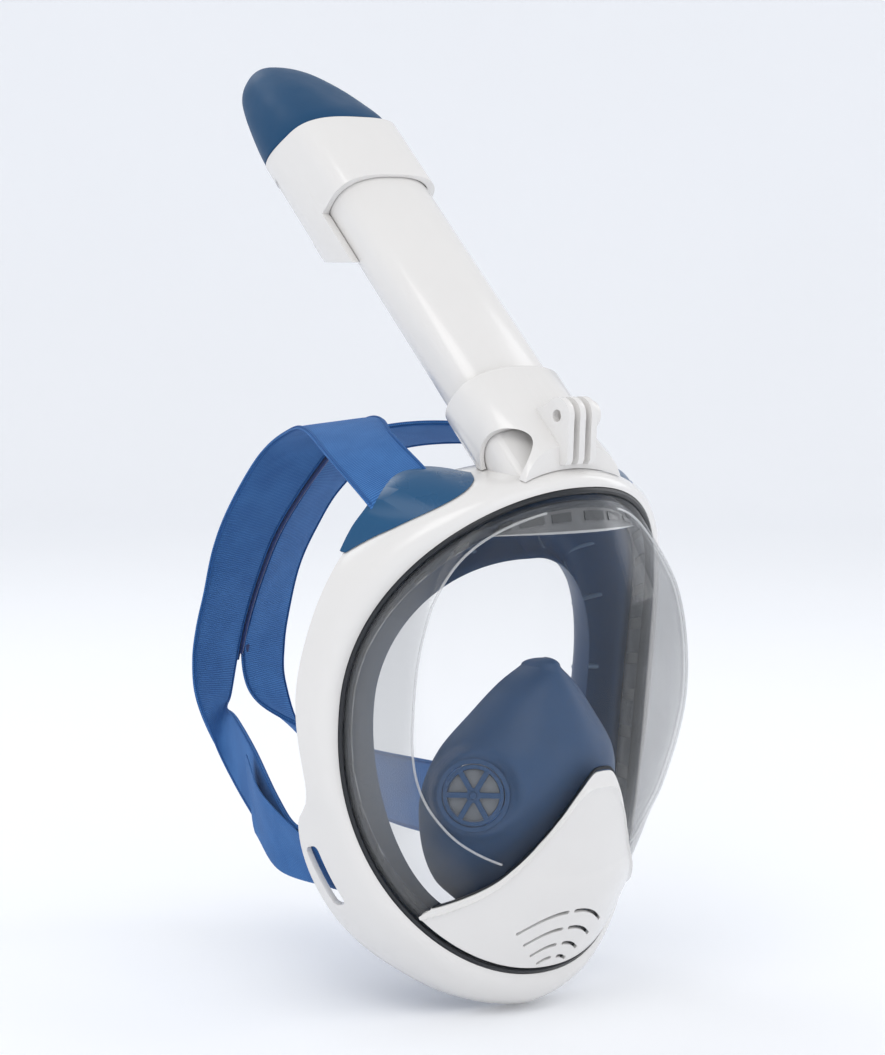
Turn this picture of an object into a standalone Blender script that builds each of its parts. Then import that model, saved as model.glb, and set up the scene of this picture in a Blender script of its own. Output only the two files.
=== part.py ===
"""Full face snorkel mask: frame, lens, face skirt, nose pocket, valves, head strap and a tube with a dry top.

Units are metres. +X is the wearer's left, -Y is the front, +Z is up. The origin is the centre of the
opening that the face goes into. The tube's pieces are modelled in the tube's own frame, whose Z runs
up the tube, and an empty at the foot of the tube places them.
"""
import math

import bmesh
import bpy
from mathutils import Matrix, Vector

# ---- Driving dimensions: outlines seen from the front, as half width, rise, drop and squareness ----
EYE_Z = 0.020  # height of the centre that every outline is drawn round
LIP = (0.0850, 0.0894, 0.1135, 2.15)  # front lip of the frame
# Bend between the lens's front and its side walls
BEND = (LIP[0] - 0.0065, LIP[1] + 0.0006, LIP[2] - 0.0445, 2.20)
FACE = (0.0580, 0.0570, 0.0950, 2.10)  # edge of the face opening

# ---- Front lip, and the frame's rounded band behind it ----
LIP_TOP_Y = -0.0610
LIP_BOTTOM_Y = -0.0380
LIP_WRAP = 0.0420  # how far back the lip has wrapped at its widest
WALL = 0.0025
FRAME_REACH = [(0, 0.0085), (15, 0.0088), (30, 0.011), (47, 0.012), (73, 0.010), (90, 0.009), (108, 0.0075),
               (118, 0.0066), (126, 0.0076), (137, 0.0094), (155, 0.0117), (166, 0.0145), (180, 0.017)]
FRAME_DEPTH = [(0, 0.046), (20, 0.046), (30, 0.043), (42, 0.033), (52, 0.026), (70, 0.019), (90, 0.017),
               (108, 0.0146), (114, 0.018), (120, 0.028), (137, 0.0345), (152, 0.036), (164, 0.028),
               (180, 0.023)]
FRAME_SQUARENESS = [(0, 3.6), (40, 2.6), (90, 2.2), (180, 2.2)]
STEPS_ROUND = 48
ROUND_SIDES = 30  # sides of a small round piece

# ---- Lens, and what holds it ----
GAP = 0.0003  # gap between pieces that rest on each other
GASKET_WIDTH = 0.0024
RIM_DEPTH = 0.0090  # how far the lens's rim reaches behind the lip
LENS_WALL = 0.0020
BEND_Y = -0.0420  # the bend lies in one upright plane
LENS_MIDLINE = [(-0.100, -0.0365), (-0.069, -0.0505), (-0.035, -0.0630), (-0.004, -0.0715),
                (0.020, -0.0720), (0.050, -0.0705), (0.092, -0.0650), (0.112, -0.0605)]
LENS_HALF_WIDTH = [(-0.098, 0.030), (-0.060, 0.044), (-0.035, 0.054), (-0.022, 0.063), (0.010, 0.076),
                   (0.035, 0.0785), (0.064, 0.0725), (0.092, 0.054), (0.112, 0.048)]
DRAWN_HALF_WIDTH = 0.0850  # the lip's half width that the table above was drawn for
BEAD_DEPTH = 0.0040
RETAINER_DEPTH = 0.0040

# ---- Forehead duct, chin cover and purge valve ----
DUCT_Z = 0.0920  # straight lower edge of the duct panel
DUCT_GAP = 0.0030
DUCT_WALL = 0.0012
COVER_WALL = 0.0016
COVER_GAP = 0.0005
COVER_INSET = 0.0012
COVER_TIP = 0.0040  # height of the cover's two blunt upper ends
COVER_TOP = [(0.000, -0.0040), (0.005, -0.0050), (0.011, -0.0125), (0.018, -0.0240), (0.026, -0.0365),
             (0.036, -0.0480), (0.048, -0.0575), (0.058, -0.0630), (0.075, -0.0690)]
PURGE_Z = -0.0720
PURGE_LEAN = 26.0  # degrees that the purge valve's axis points below level
PURGE_RADIUS = 0.0120
PURGE_DEPTH = 0.0065
SLOT_ROWS = [(0.0085, 0.0200, 0.0100), (0.0000, 0.0150, 0.0072), (-0.0082, 0.0100, 0.0048),
             (-0.0152, 0.0050, 0.0022)]

# ---- Nose pocket: level, half width, ridge, rim ----
POCKET = [(-0.066, 0.022, -0.026, -0.008), (-0.055, 0.034, -0.036, -0.007), (-0.038, 0.042, -0.049, -0.008),
          (-0.018, 0.044, -0.060, -0.010), (0.000, 0.038, -0.0635, -0.014), (0.016, 0.026, -0.0565, -0.021),
          (0.028, 0.015, -0.0500, -0.026), (0.0345, 0.006, -0.0455, -0.029)]
POCKET_WALL = 0.0018
INHALE_CENTRE = Vector((0.0365, -0.0350, -0.0155))
INHALE_AXIS = Vector((0.72, -0.69, 0.08)).normalized()
INHALE_RADIUS = 0.0125
INHALE_DEPTH = 0.0050
VALVE_RIM = 0.0016
WHEEL_WALL = 0.0015
HUB_RADIUS = 0.0030
FLAP_WALL = 0.0010
SPOKES = 6
SPOKE_WIDTH = 0.0022

# ---- Skirt ----
SKIRT_WALL = 0.0020
FACE_TOP_Y = -0.0285
FACE_SIDE_Y = 0.0010
FACE_BOTTOM_Y = -0.0030

# ---- Strap ----
STRAP_WALL = 0.0016
SLOT_ANGLE = 132.3  # where round the frame the lower strap goes through
SLOT_LENGTH = 0.0275
SLOT_WIDTH = 0.0080
SLOT_BACK = 0.0240
STRAP_HALF_TURN = 6.6  # degrees from the middle of the slot to the strap's edge
BAR_SIZE = 0.0032
BAR_OUT = 0.0
BAR_END_TURN = 9.5

# ---- Snorkel: foot of the axis, lean, and sections as half width and half depth ----
TUBE_FOOT = Vector((0.0, -0.0400, 0.1145))
TUBE_LEAN = 45.4
SQUARENESS = 2.5
NECK = (0.0248, 0.0110, 0.0158)  # half width, front and back
NECK_WALL = 0.0025
NECK_TOP = 0.0320
COLLAR_GAP = 0.0005
COLLAR_WALL = 0.0022
COLLAR_TOP = 0.0430
COLLAR_EDGE = 0.0012
COLLAR_DROP = 0.0080  # how far the collar reaches down the frame's shoulders
COLLAR_LIFT = 0.0005  # gap between the collar's foot and the frame's top
COLLAR_FRONT_Y = -0.0543  # the collar has an upright flat front
SEAL_LOW = 0.0265
SEAL_HIGH = 0.0293
SEAL_DEPTH = 0.0012
TUBE = (0.0245, 0.0155, 0.0155)
TUBE_WALL = 0.0018
TUBE_BOTTOM = 0.0335
TUBE_TOP = 0.1760
CHANNEL_WALL = 0.0012
CHANNEL_HALF = 0.0090
ARCH_Y = -0.0398
ARCH_HALF = 0.0122
ARCH_HEIGHT = 0.0145
FIN_WALL = 0.0030
FIN_PITCH = 0.0062
FIN_RADIUS = 0.0075
FIN_HOLE = 0.0025
FIN_Y = -0.0525
FIN_Z = 0.1380
NUT_RADIUS = 0.0042
NUT_THICKNESS = 0.0035
NUT_WALL = 0.0015

# ---- Dry top ----
TOP = (0.0275, 0.0172, 0.0320)  # half width, front and back of its section
TOP_SQUARENESS = 3.0
TOP_WALL = 0.0020
SHELL_BOTTOM = 0.1580  # lower edge of the housing round the tube
BOX_FRONT = 0.0065  # where the rear compartment steps out from the tube
BOX_BOTTOM_Z = 0.2000  # level underside of the rear compartment
JOINT_H = 0.2000  # cap joint at the axis, rising to the back
JOINT_RISE = 0.30
CAP_LEVELS = [(0.0000, 1.000, 0.0172, 0.0320), (0.0057, 0.990, 0.0160, 0.0316),
              (0.0137, 0.955, 0.0130, 0.0309), (0.0251, 0.880, 0.0086, 0.0299),
              (0.0355, 0.790, 0.0040, 0.0289), (0.0448, 0.680, -0.0006, 0.0274),
              (0.0518, 0.520, -0.0050, 0.0249), (0.0564, 0.320, -0.0090, 0.0212),
              (0.0584, 0.120, -0.0125, 0.0170)]
CAGE_FLOOR = 0.1535
CAGE_WALL = 0.0012
FLOAT_SIZE = (0.0300, 0.0090, 0.0165)
FLOAT_Q = 0.0227
FLOAT_TRAVEL = 0.0100
FLOAT_SEAL_WALL = 0.0015
SEAT_WALL = 0.0015
PORT = (0.0220, 0.0060)
EXHALE_RADIUS = 0.0055
EXHALE_X = 0.0162
REAR_WINDOW = (0.0480, 0.0380)
REAR_WINDOW_H = 0.1780
OUTLET_RADIUS = 0.0035

BLUE_SILICONE = ((0.022, 0.075, 0.175, 1.0), 0.45)
WHITE_ABS = ((0.83, 0.82, 0.80, 1.0), 0.25)
BLUE_PLASTIC = ((0.030, 0.125, 0.230, 1.0), 0.30)
BLUE_WEBBING = ((0.030, 0.120, 0.400, 1.0), 0.85)
CLEAR = ((0.80, 0.86, 0.90, 1.0), 0.05)
SMOKE = ((0.16, 0.18, 0.20, 1.0), 0.15)
BLACK_RUBBER = ((0.010, 0.012, 0.016, 1.0), 0.50)
GREY_SILICONE = ((0.40, 0.39, 0.37, 1.0), 0.55)
STEEL = ((0.60, 0.60, 0.62, 1.0), 0.25)


# ---- Numbers and outlines ----
def through(knots, x):
    """The value at x of a smooth curve through (x, value) knots, level beyond both ends."""
    if x <= knots[0][0]:
        return knots[0][1]
    if x >= knots[-1][0]:
        return knots[-1][1]
    i = next(k for k in range(len(knots) - 1) if x <= knots[k + 1][0])

    def slope(k):
        low, high = knots[max(k - 1, 0)], knots[min(k + 1, len(knots) - 1)]
        return (high[1] - low[1]) / (high[0] - low[0])

    width = knots[i + 1][0] - knots[i][0]
    t = (x - knots[i][0]) / width
    return (knots[i][1] * (1 + 2 * t) * (1 - t) ** 2 + knots[i + 1][1] * t * t * (3 - 2 * t)
            + slope(i) * width * t * (1 - t) ** 2 + slope(i + 1) * width * t * t * (t - 1))


def spread(low, high, count):
    return [low + (high - low) * k / (count - 1) for k in range(count)]


def turns(count):
    return [2 * math.pi * k / count for k in range(count)]


def radius_of(outline, angle):
    """Distance from the outline's centre to the outline, at a clock angle from the top towards +X."""
    half, rise, drop, power = outline
    height = rise if math.cos(angle) >= 0 else drop
    return (abs(math.sin(angle) / half) ** power + abs(math.cos(angle) / height) ** power) ** (-1 / power)


def height_of(outline, x):
    """Height above the centre of the outline's top half, at x."""
    half, rise, _, power = outline
    return rise * max(0.0, 1 - abs(x / half) ** power) ** (1 / power)


def oval(half, front, back, power, count):
    """A closed superellipse whose front (-Y) and back (+Y) halves have their own depths."""
    points = []
    for angle in turns(count):
        side, deep = math.cos(angle), math.sin(angle)
        depth = back if deep > 0 else front
        x = half * math.copysign(abs(side) ** (2 / power), side)
        points.append((x, depth * math.copysign(abs(deep) ** (2 / power), deep)))
    return points


# ---- Blender helpers ----
def fresh_collections():
    for old in list(bpy.data.objects):
        bpy.data.objects.remove(old)
    made = []
    for name in ("full_face_snorkel", "cutters"):
        collection = bpy.data.collections.new(name)
        bpy.context.scene.collection.children.link(collection)
        made.append(collection)
    return made


PARTS, CUTTERS = fresh_collections()


def finish_of(name, look):
    colour, roughness = look
    material = bpy.data.materials.new(name + "_finish")
    material.use_nodes = True
    shader = material.node_tree.nodes["Principled BSDF"]
    shader.inputs["Base Color"].default_value = colour
    shader.inputs["Roughness"].default_value = roughness
    shader.inputs["Metallic"].default_value = 1.0 if look is STEEL else 0.0
    return material


def place(name, bm, look=None, parent=None, matrix=None):
    """Makes the object of a bmesh: a node with its finish, or a hidden cutter when it has no look."""
    mesh = bpy.data.meshes.new(name)
    bm.to_mesh(mesh)
    bm.free()
    obj = bpy.data.objects.new(name, mesh)
    (PARTS if look else CUTTERS).objects.link(obj)
    obj.parent = parent
    obj.matrix_local = matrix or Matrix.Identity(4)
    if look:
        mesh.materials.append(finish_of(name, look))
        mesh.shade_smooth()
        mesh.set_sharp_from_angle(angle=math.radians(35))
    else:
        obj.hide_render = True
        obj.display_type = "WIRE"
    return obj


def boolean(target, tool, operation="DIFFERENCE"):
    modifier = target.modifiers.new(tool.name, "BOOLEAN")
    modifier.operation = operation
    modifier.object = tool
    return target


def skin(loops, wrap=False):
    """A solid through closed loops of points: its ends are capped, or joined to each other when it wraps."""
    bm = bmesh.new()
    rows = [[bm.verts.new(point) for point in loop] for loop in loops]
    pairs = list(zip(rows, rows[1:]))
    if wrap:
        pairs.append((rows[-1], rows[0]))
    for low, high in pairs:
        for i in range(len(low)):
            j = (i + 1) % len(low)
            bm.faces.new((low[i], low[j], high[j], high[i]))
    if not wrap:
        bm.faces.new(rows[0])
        bm.faces.new(rows[-1])
    bmesh.ops.recalc_face_normals(bm, faces=bm.faces)
    return bm


def surface(rows, closed=False, towards=Vector((0, -1, 0))):
    """An open surface through rows of points, facing mostly the given way. A row may be a single point."""
    bm = bmesh.new()
    grid = [[bm.verts.new(point) for point in row] for row in rows]
    for low, high in zip(grid, grid[1:]):
        count = max(len(low), len(high))
        for i in range(count if closed else count - 1):
            j = (i + 1) % count
            if len(low) == 1:
                bm.faces.new((low[0], high[i], high[j]))
            else:
                bm.faces.new((low[i], high[i], high[j], low[j]))
    bm.normal_update()
    facing = sum((face.normal * face.calc_area() for face in bm.faces), Vector())
    if facing.dot(towards) < 0:
        bmesh.ops.reverse_faces(bm, faces=bm.faces)
    return bm


def thicken(obj, wall):
    """Gives an open surface its wall, on the side it faces away from."""
    modifier = obj.modifiers.new("wall", "SOLIDIFY")
    modifier.thickness = wall
    modifier.offset = -1
    return obj


def prism(outlines, low, high):
    """A solid between two heights with a flat outline; outlines after the first are holes."""
    bm = bmesh.new()
    edges = []
    for outline in outlines:
        ring = [bm.verts.new((x, y, low)) for x, y in outline]
        edges += [bm.edges.new(pair) for pair in zip(ring, ring[1:] + ring[:1])]
    bmesh.ops.triangle_fill(bm, edges=edges, use_beauty=True)
    grown = bmesh.ops.extrude_face_region(bm, geom=bm.faces[:])
    risen = [item for item in grown["geom"] if isinstance(item, bmesh.types.BMVert)]
    bmesh.ops.translate(bm, vec=(0, 0, high - low), verts=risen)
    bmesh.ops.recalc_face_normals(bm, faces=bm.faces)
    return bm


def cylinder(radius, low, high, sides=ROUND_SIDES):
    bm = bmesh.new()
    rise = Matrix.Translation((0, 0, (low + high) / 2))
    bmesh.ops.create_cone(bm, cap_ends=True, segments=sides, radius1=radius, radius2=radius,
                          depth=high - low, matrix=rise)
    return bm


def block(size, centre=(0, 0, 0)):
    bm = bmesh.new()
    bmesh.ops.create_cube(bm, size=1.0, matrix=Matrix.Translation(centre) @ Matrix.Diagonal((*size, 1)))
    return bm


def soften(obj, width, segments=2):
    modifier = obj.modifiers.new("edges", "BEVEL")
    modifier.width = width
    modifier.segments = segments
    modifier.limit_method = "ANGLE"
    return obj


def facing(centre, axis):
    """A placement whose Z runs along the axis."""
    return Matrix.Translation(centre) @ axis.to_track_quat("Z", "Y").to_matrix().to_4x4()


# ---- The mask's shared shape ----
def rim_depth(x, z):
    """Where the frame's front lip lies, front to back."""
    down = (EYE_Z + LIP[1] - z) / (LIP[1] + LIP[2])
    return LIP_TOP_Y + (LIP_BOTTOM_Y - LIP_TOP_Y) * down + LIP_WRAP * (x / LIP[0]) ** 2


def rim_point(angle, out, back):
    """A point that far outside the lip's outline and behind the lip, at a clock angle."""
    lip = radius_of(LIP, angle)
    depth = rim_depth(lip * math.sin(angle), EYE_Z + lip * math.cos(angle))
    reach = lip + out
    return Vector((reach * math.sin(angle), depth + back, EYE_Z + reach * math.cos(angle)))


def frame_values(angle):
    turn = abs(math.degrees(math.remainder(angle, 2 * math.pi)))
    return [through(knots, turn) for knots in (FRAME_REACH, FRAME_DEPTH, FRAME_SQUARENESS)]


def frame_out(angle, back):
    """How far the frame's outer face stands outside the lip, that far behind it."""
    reach, depth, power = frame_values(angle)
    share = min(max(back / depth, 0.0), 1.0)
    return reach * (1 - (1 - share) ** power) ** (1 / power)


def frame_inner_out(angle, back):
    """How far the frame's inner face stands outside the lip, that far behind it."""
    reach, depth, power = frame_values(angle)
    share = min(max((back - WALL) / (depth - WALL), 0.0), 1.0)
    return (reach - WALL) * (1 - (1 - share) ** power) ** (1 / power)


LENS_INSET = GASKET_WIDTH + 2 * GAP
FRAME_TOP_Z = EYE_Z + LIP[1] + FRAME_REACH[0][1]


def lens_front(x, z):
    middle = through(LENS_MIDLINE, z)
    half_width = through(LENS_HALF_WIDTH, z) * LIP[0] / DRAWN_HALF_WIDTH
    return middle + (BEND_Y - middle) * (x / half_width) ** 2


def lens_depth(angle, radius):
    """Front to back place of the lens's outer face, at a distance from the centre."""
    edge = radius_of(LIP, angle) - LENS_INSET
    bend = min(radius_of(BEND, angle), edge - 0.0015)
    inner = min(radius, bend)
    front = lens_front(inner * math.sin(angle), EYE_Z + inner * math.cos(angle))
    if radius <= bend:
        return front
    share = min((radius - bend) / (edge - bend), 1.0)
    return front + (rim_point(angle, 0, 0).y - front) * share ** 1.25


def lens_at(x, z, lift=0.0):
    """A point on the lens's outer face, or lifted off it along the face's own normal."""
    def depth(px, pz):
        return lens_depth(math.atan2(px, pz - EYE_Z), math.hypot(px, pz - EYE_Z))

    point = Vector((x, depth(x, z), z))
    if lift == 0:
        return point
    step = 0.0006
    slope_x = (depth(x + step, z) - depth(x - step, z)) / (2 * step)
    slope_z = (depth(x, z + step) - depth(x, z - step)) / (2 * step)
    return point + Vector((slope_x, -1, slope_z)).normalized() * lift


def lens_point(angle, radius, lift=0.0):
    return lens_at(radius * math.sin(angle), EYE_Z + radius * math.cos(angle), lift)


# ---- Frame ----
def frame_arc(angle, inset):
    """The frame's curved face from its lip back to its rear edge, moved inwards by an inset."""
    reach, depth, power = frame_values(angle)
    arc = []
    for bend in spread(0, math.pi / 2, 6):
        out = (reach - inset) * math.sin(bend) ** (2 / power)
        back = inset + (depth - inset) * (1 - max(math.cos(bend), 0.0) ** (2 / power))
        arc.append(rim_point(angle, out, back))
    return arc


def frame_section(angle):
    """Closed section of the frame's wall: out along its outer face, and back along its inner face."""
    return frame_arc(angle, 0.0) + frame_arc(angle, WALL)[::-1]


def tube_matrix():
    return Matrix.Translation(TUBE_FOOT) @ Matrix.Rotation(-math.radians(TUBE_LEAN), 4, "X")


def sleeve(outer, inner):
    """A tube wall from its outer and inner loops, each listed from the bottom up."""
    return skin(outer + inner[::-1], wrap=True)


def tube_loop(half, front, back, height, count=36):
    return [Vector((x, y, height)) for x, y in oval(half, front, back, SQUARENESS, count)]


def straight(name, sizes, low, high):
    """A cutter in the tube's frame: an oval bar between two heights."""
    loops = [[Vector((x, y, h)) for x, y in oval(*sizes, SQUARENESS, 36)] for h in (low, high)]
    return place(name, skin(loops), matrix=tube_matrix())


def grown(sizes, by):
    return [size + by for size in sizes]


def frame_envelope(lift):
    """The space that the top of the frame fills, grown outwards by a gap, for trimming what stands on it."""
    loops = []
    for turn in spread(-52.5, 52.5, 15):
        angle = math.radians(turn)
        reach, depth, _ = frame_values(angle)
        behind = [(reach + lift, depth + 0.020), (-0.030, depth + 0.020), (-0.030, -lift)]
        loops.append(frame_arc(angle, -lift) + [rim_point(angle, out, back) for out, back in behind])
    return skin(loops)


def strap_slot_matrix(side):
    """The lower strap slot's place: X along the slot, Y across it, Z out through the frame's wall."""
    angle = math.radians(SLOT_ANGLE) * side
    centre = rim_point(angle, frame_out(angle, SLOT_BACK), SLOT_BACK)
    along = (rim_point(angle + 0.05 * side, frame_out(angle, SLOT_BACK), SLOT_BACK) - centre).normalized()
    out = Vector((math.sin(angle), 0, math.cos(angle)))
    out = (out - along * out.dot(along)).normalized()
    return Matrix.Translation(centre) @ Matrix((along, out.cross(along), out)).transposed().to_4x4()


def main_frame():
    frame = place("main_frame", skin([frame_section(a) for a in turns(STEPS_ROUND)], wrap=True), WHITE_ABS)
    neck = straight("neck_stub", NECK, -0.022, NECK_TOP)
    boolean(neck, place("below_neck", block((0.2, 0.2, 0.1), (0, -0.04, FRAME_TOP_Z - 0.0540))))
    boolean(frame, neck, "UNION")
    bore = grown(NECK, -NECK_WALL)
    boolean(frame, straight("neck_bore", bore, -0.002, 0.05))
    well = place("neck_well", prism([oval(*bore, SQUARENESS, 36)], FRAME_TOP_Z - 0.010, FRAME_TOP_Z + 0.005),
                 matrix=Matrix.Translation((0, -0.0340, 0)))
    boolean(frame, well)
    lifts = (0.004, -SEAL_DEPTH)
    groove = [[tube_loop(*grown(NECK, lift), h) for h in (SEAL_LOW, SEAL_HIGH)] for lift in lifts]
    boolean(frame, place("seal_groove", sleeve(*groove), matrix=tube_matrix()))
    for side, word in ((1, "left"), (-1, "right")):
        cutter = block((SLOT_LENGTH, SLOT_WIDTH, 0.016))
        boolean(frame, place("slot_" + word, cutter, matrix=strap_slot_matrix(side)))
    return frame


def lens_rim_ring(name, look, out_low, out_high, back_low, back_high):
    """A rectangular band that follows the frame's lip."""
    corners = [(out_low, back_low), (out_high, back_low), (out_high, back_high), (out_low, back_high)]
    loops = [[rim_point(a, out, back) for out, back in corners] for a in turns(STEPS_ROUND)]
    return place(name, skin(loops, wrap=True), look)


def lens():
    rows = [[lens_point(0.0, 0.0)]]
    angles = turns(STEPS_ROUND)
    for share in (0.3, 0.55, 0.8, 1.0):
        row = []
        for angle in angles:
            edge = radius_of(LIP, angle) - LENS_INSET
            row.append(lens_point(angle, share * min(radius_of(BEND, angle), edge - 0.0015)))
        rows.append(row)
    for share in (0.45, 1.0):
        row = []
        for angle in angles:
            edge = radius_of(LIP, angle) - LENS_INSET
            bend = min(radius_of(BEND, angle), edge - 0.0015)
            row.append(lens_point(angle, bend + share * (edge - bend)))
        rows.append(row)
    rows.append([rim_point(angle, -LENS_INSET, RIM_DEPTH) for angle in angles])
    shell = thicken(place("lens", surface(rows, closed=True), CLEAR), LENS_WALL)
    hole = cylinder(PURGE_RADIUS + GAP, -0.02, 0.01)
    return boolean(shell, place("purge_hole", hole, matrix=purge_matrix()))


def purge_matrix():
    """The purge valve's place: Z points out of the chin, forwards and down."""
    lean = math.radians(PURGE_LEAN)
    return facing(lens_at(0, PURGE_Z), Vector((0, -math.cos(lean), -math.sin(lean))))


def retainer():
    """Smoke ring behind the lens that clamps the skirt's bead into the frame."""
    start = RIM_DEPTH + BEAD_DEPTH + 2 * GAP
    loops = []
    for angle in turns(STEPS_ROUND):
        room = min(frame_values(angle)[0] - WALL - 0.0022, 0.0050)
        stop = start + RETAINER_DEPTH * 0.5
        inner = -LENS_INSET - LENS_WALL - 0.0015
        corners = [(inner, start), (room, start), (room, stop), (inner, stop)]
        loops.append([rim_point(angle, out, back) for out, back in corners])
    return place("inner_frame", skin(loops, wrap=True), SMOKE)


def duct_panel():
    inset = LENS_INSET + LENS_WALL + 0.0025
    outline = (LIP[0] - inset, LIP[1] - inset, LIP[2], LIP[3])
    low = DUCT_Z - EYE_Z
    widest = outline[0] * (1 - (low / outline[1]) ** outline[3]) ** (1 / outline[3]) - 0.003
    columns = []
    for x in spread(-widest, widest, 17):
        top = EYE_Z + height_of(outline, x)
        columns.append([lens_at(x, z, -LENS_WALL - DUCT_GAP) for z in spread(DUCT_Z, top, 4)])
    return thicken(place("air_duct_panel", surface(columns), SMOKE), DUCT_WALL)


# ---- Chin ----
def cover_edge_radius(angle):
    """Distance from the centre to the cover's top edge, found by stepping out along the clock angle."""
    limit = radius_of(LIP, angle) - LENS_INSET
    for step in range(200):
        radius = limit * step / 199
        x, z = radius * abs(math.sin(angle)), EYE_Z + radius * math.cos(angle)
        if z < through(COVER_TOP, x):
            return radius
    return limit


def cover_end():
    """Clock angle at which the cover is only as tall as its blunt upper end."""
    for turn in range(110, 180):
        angle = math.radians(turn)
        if radius_of(LIP, angle) - LENS_INSET - COVER_INSET - cover_edge_radius(angle) > COVER_TIP:
            return angle
    return math.pi


def chin_cover():
    end = cover_end()
    angles = spread(end, 2 * math.pi - end, 28)
    rows = []
    for share in spread(0, 1, 7):
        row = []
        for angle in angles:
            limit = radius_of(LIP, angle) - LENS_INSET - COVER_INSET
            start = cover_edge_radius(angle)
            row.append(lens_point(angle, start + share * (limit - start), COVER_WALL + COVER_GAP))
        rows.append(row)
    cover = thicken(place("chin_cover", surface(rows), WHITE_ABS), COVER_WALL)
    for number, (height, reach, droop) in enumerate(SLOT_ROWS):
        for side in (-1, 1):
            outline = slot_outline(height, reach, droop, side)
            cutter = place(f"vent_{number}_{side}", prism([outline], -0.01, 0.01), matrix=purge_matrix())
            boolean(cover, cutter)
    return cover


def slot_outline(height, reach, droop, side):
    """A curved vent slot on one side of the middle rib, in the purge valve's frame, where Y is up."""
    start, width = 0.0022, 0.0016
    points = []
    for share in spread(0, 1, 5):
        points.append((side * (start + share * reach), height - droop * share * share))
    return [(x, y + width / 2) for x, y in points] + [(x, y - width / 2) for x, y in reversed(points)]


def spoked_outlines(radius, rim, hub, spoke, count):
    """The outline of a wheel and the windows between its spokes."""
    outlines = [[(radius * math.cos(a), radius * math.sin(a)) for a in turns(ROUND_SIDES)]]
    inner, outer = hub, radius - rim
    for k in range(count):
        first, last = 2 * math.pi * k / count, 2 * math.pi * (k + 1) / count
        window = []
        for reach, order, sides in ((inner, 1, 2), (outer, -1, 4)):
            trim = math.asin(spoke / 2 / reach)
            arc = spread(first + trim, last - trim, sides)[::order]
            window += [(reach * math.cos(a), reach * math.sin(a)) for a in arc]
        outlines.append(window)
    return outlines


def valve_cup(name, look, matrix, radius, rim, low, high, floor):
    """A round wall with a spoked floor between two heights: the seat that a valve's flap lies on."""
    radii = (radius, radius - rim)
    rings = [[(r * math.cos(a), r * math.sin(a)) for a in turns(ROUND_SIDES)] for r in radii]
    seat = place(name, prism(rings, low, high), look, matrix=matrix)
    wheel = prism(spoked_outlines(radius - 0.3 * rim, 0.3 * rim, HUB_RADIUS, SPOKE_WIDTH, SPOKES), *floor)
    return boolean(seat, place(name + "_wheel", wheel, matrix=matrix), "UNION")


def purge_valve():
    low = -PURGE_DEPTH - 0.0002
    top = low + WHEEL_WALL + 0.0002
    valve_cup("purge_valve_seat", GREY_SILICONE, purge_matrix(), PURGE_RADIUS, VALVE_RIM, low, -0.0012,
              (low + 0.0002, top))
    disc = cylinder(PURGE_RADIUS - VALVE_RIM - GAP, top + GAP, top + GAP + FLAP_WALL)
    place("purge_valve_flap", disc, GREY_SILICONE, matrix=purge_matrix())


# ---- Nose pocket and its inhale valves ----
def inhale_matrix(side):
    centre = Vector((INHALE_CENTRE.x * side, INHALE_CENTRE.y, INHALE_CENTRE.z))
    return facing(centre, Vector((INHALE_AXIS.x * side, INHALE_AXIS.y, INHALE_AXIS.z)))


def flatten_for_valve(point):
    """Eases the pocket's wall onto the plane of the nearer inhale valve, close to that valve."""
    side = 1 if point.x >= 0 else -1
    local = inhale_matrix(side).inverted() @ point
    lateral = math.hypot(local.x, local.y)
    near, far = INHALE_RADIUS + 0.0025, INHALE_RADIUS + 0.0080
    share = min(max((far - lateral) / (far - near), 0.0), 1.0)
    local.z *= 1 - share * share * (3 - 2 * share)
    return inhale_matrix(side) @ local


def pocket_rows(levels=14, across=19):
    knots = [[(row[0], row[k]) for row in POCKET] for k in (1, 2, 3)]
    rows = []
    for z in spread(POCKET[0][0], POCKET[-1][0], levels):
        half, ridge, rim = [through(values, z) for values in knots]
        row = []
        for turn in spread(-math.pi / 2, math.pi / 2, across):
            point = Vector((half * math.sin(turn), rim + (ridge - rim) * math.cos(turn), z))
            row.append(flatten_for_valve(point))
        rows.append(row)
    return rows


def nose_pocket():
    pocket = thicken(place("nose_pocket", surface(pocket_rows()), BLUE_SILICONE), POCKET_WALL)
    for side, word in ((1, "left"), (-1, "right")):
        hole = cylinder(INHALE_RADIUS + GAP, -0.008, 0.008)
        boolean(pocket, place("inhale_hole_" + word, hole, matrix=inhale_matrix(side)))
        matrix = inhale_matrix(side)
        high = 0.0008
        wheel = (high - 0.0002 - WHEEL_WALL, high - 0.0002)
        valve_cup("inhale_valve_seat_" + word, BLUE_SILICONE, matrix, INHALE_RADIUS, VALVE_RIM, -INHALE_DEPTH, high,
                  wheel)
        top = wheel[0] - GAP
        disc = cylinder(INHALE_RADIUS - VALVE_RIM - GAP, top - FLAP_WALL, top)
        place("inhale_valve_flap_" + word, disc, GREY_SILICONE, matrix=matrix)


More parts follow.
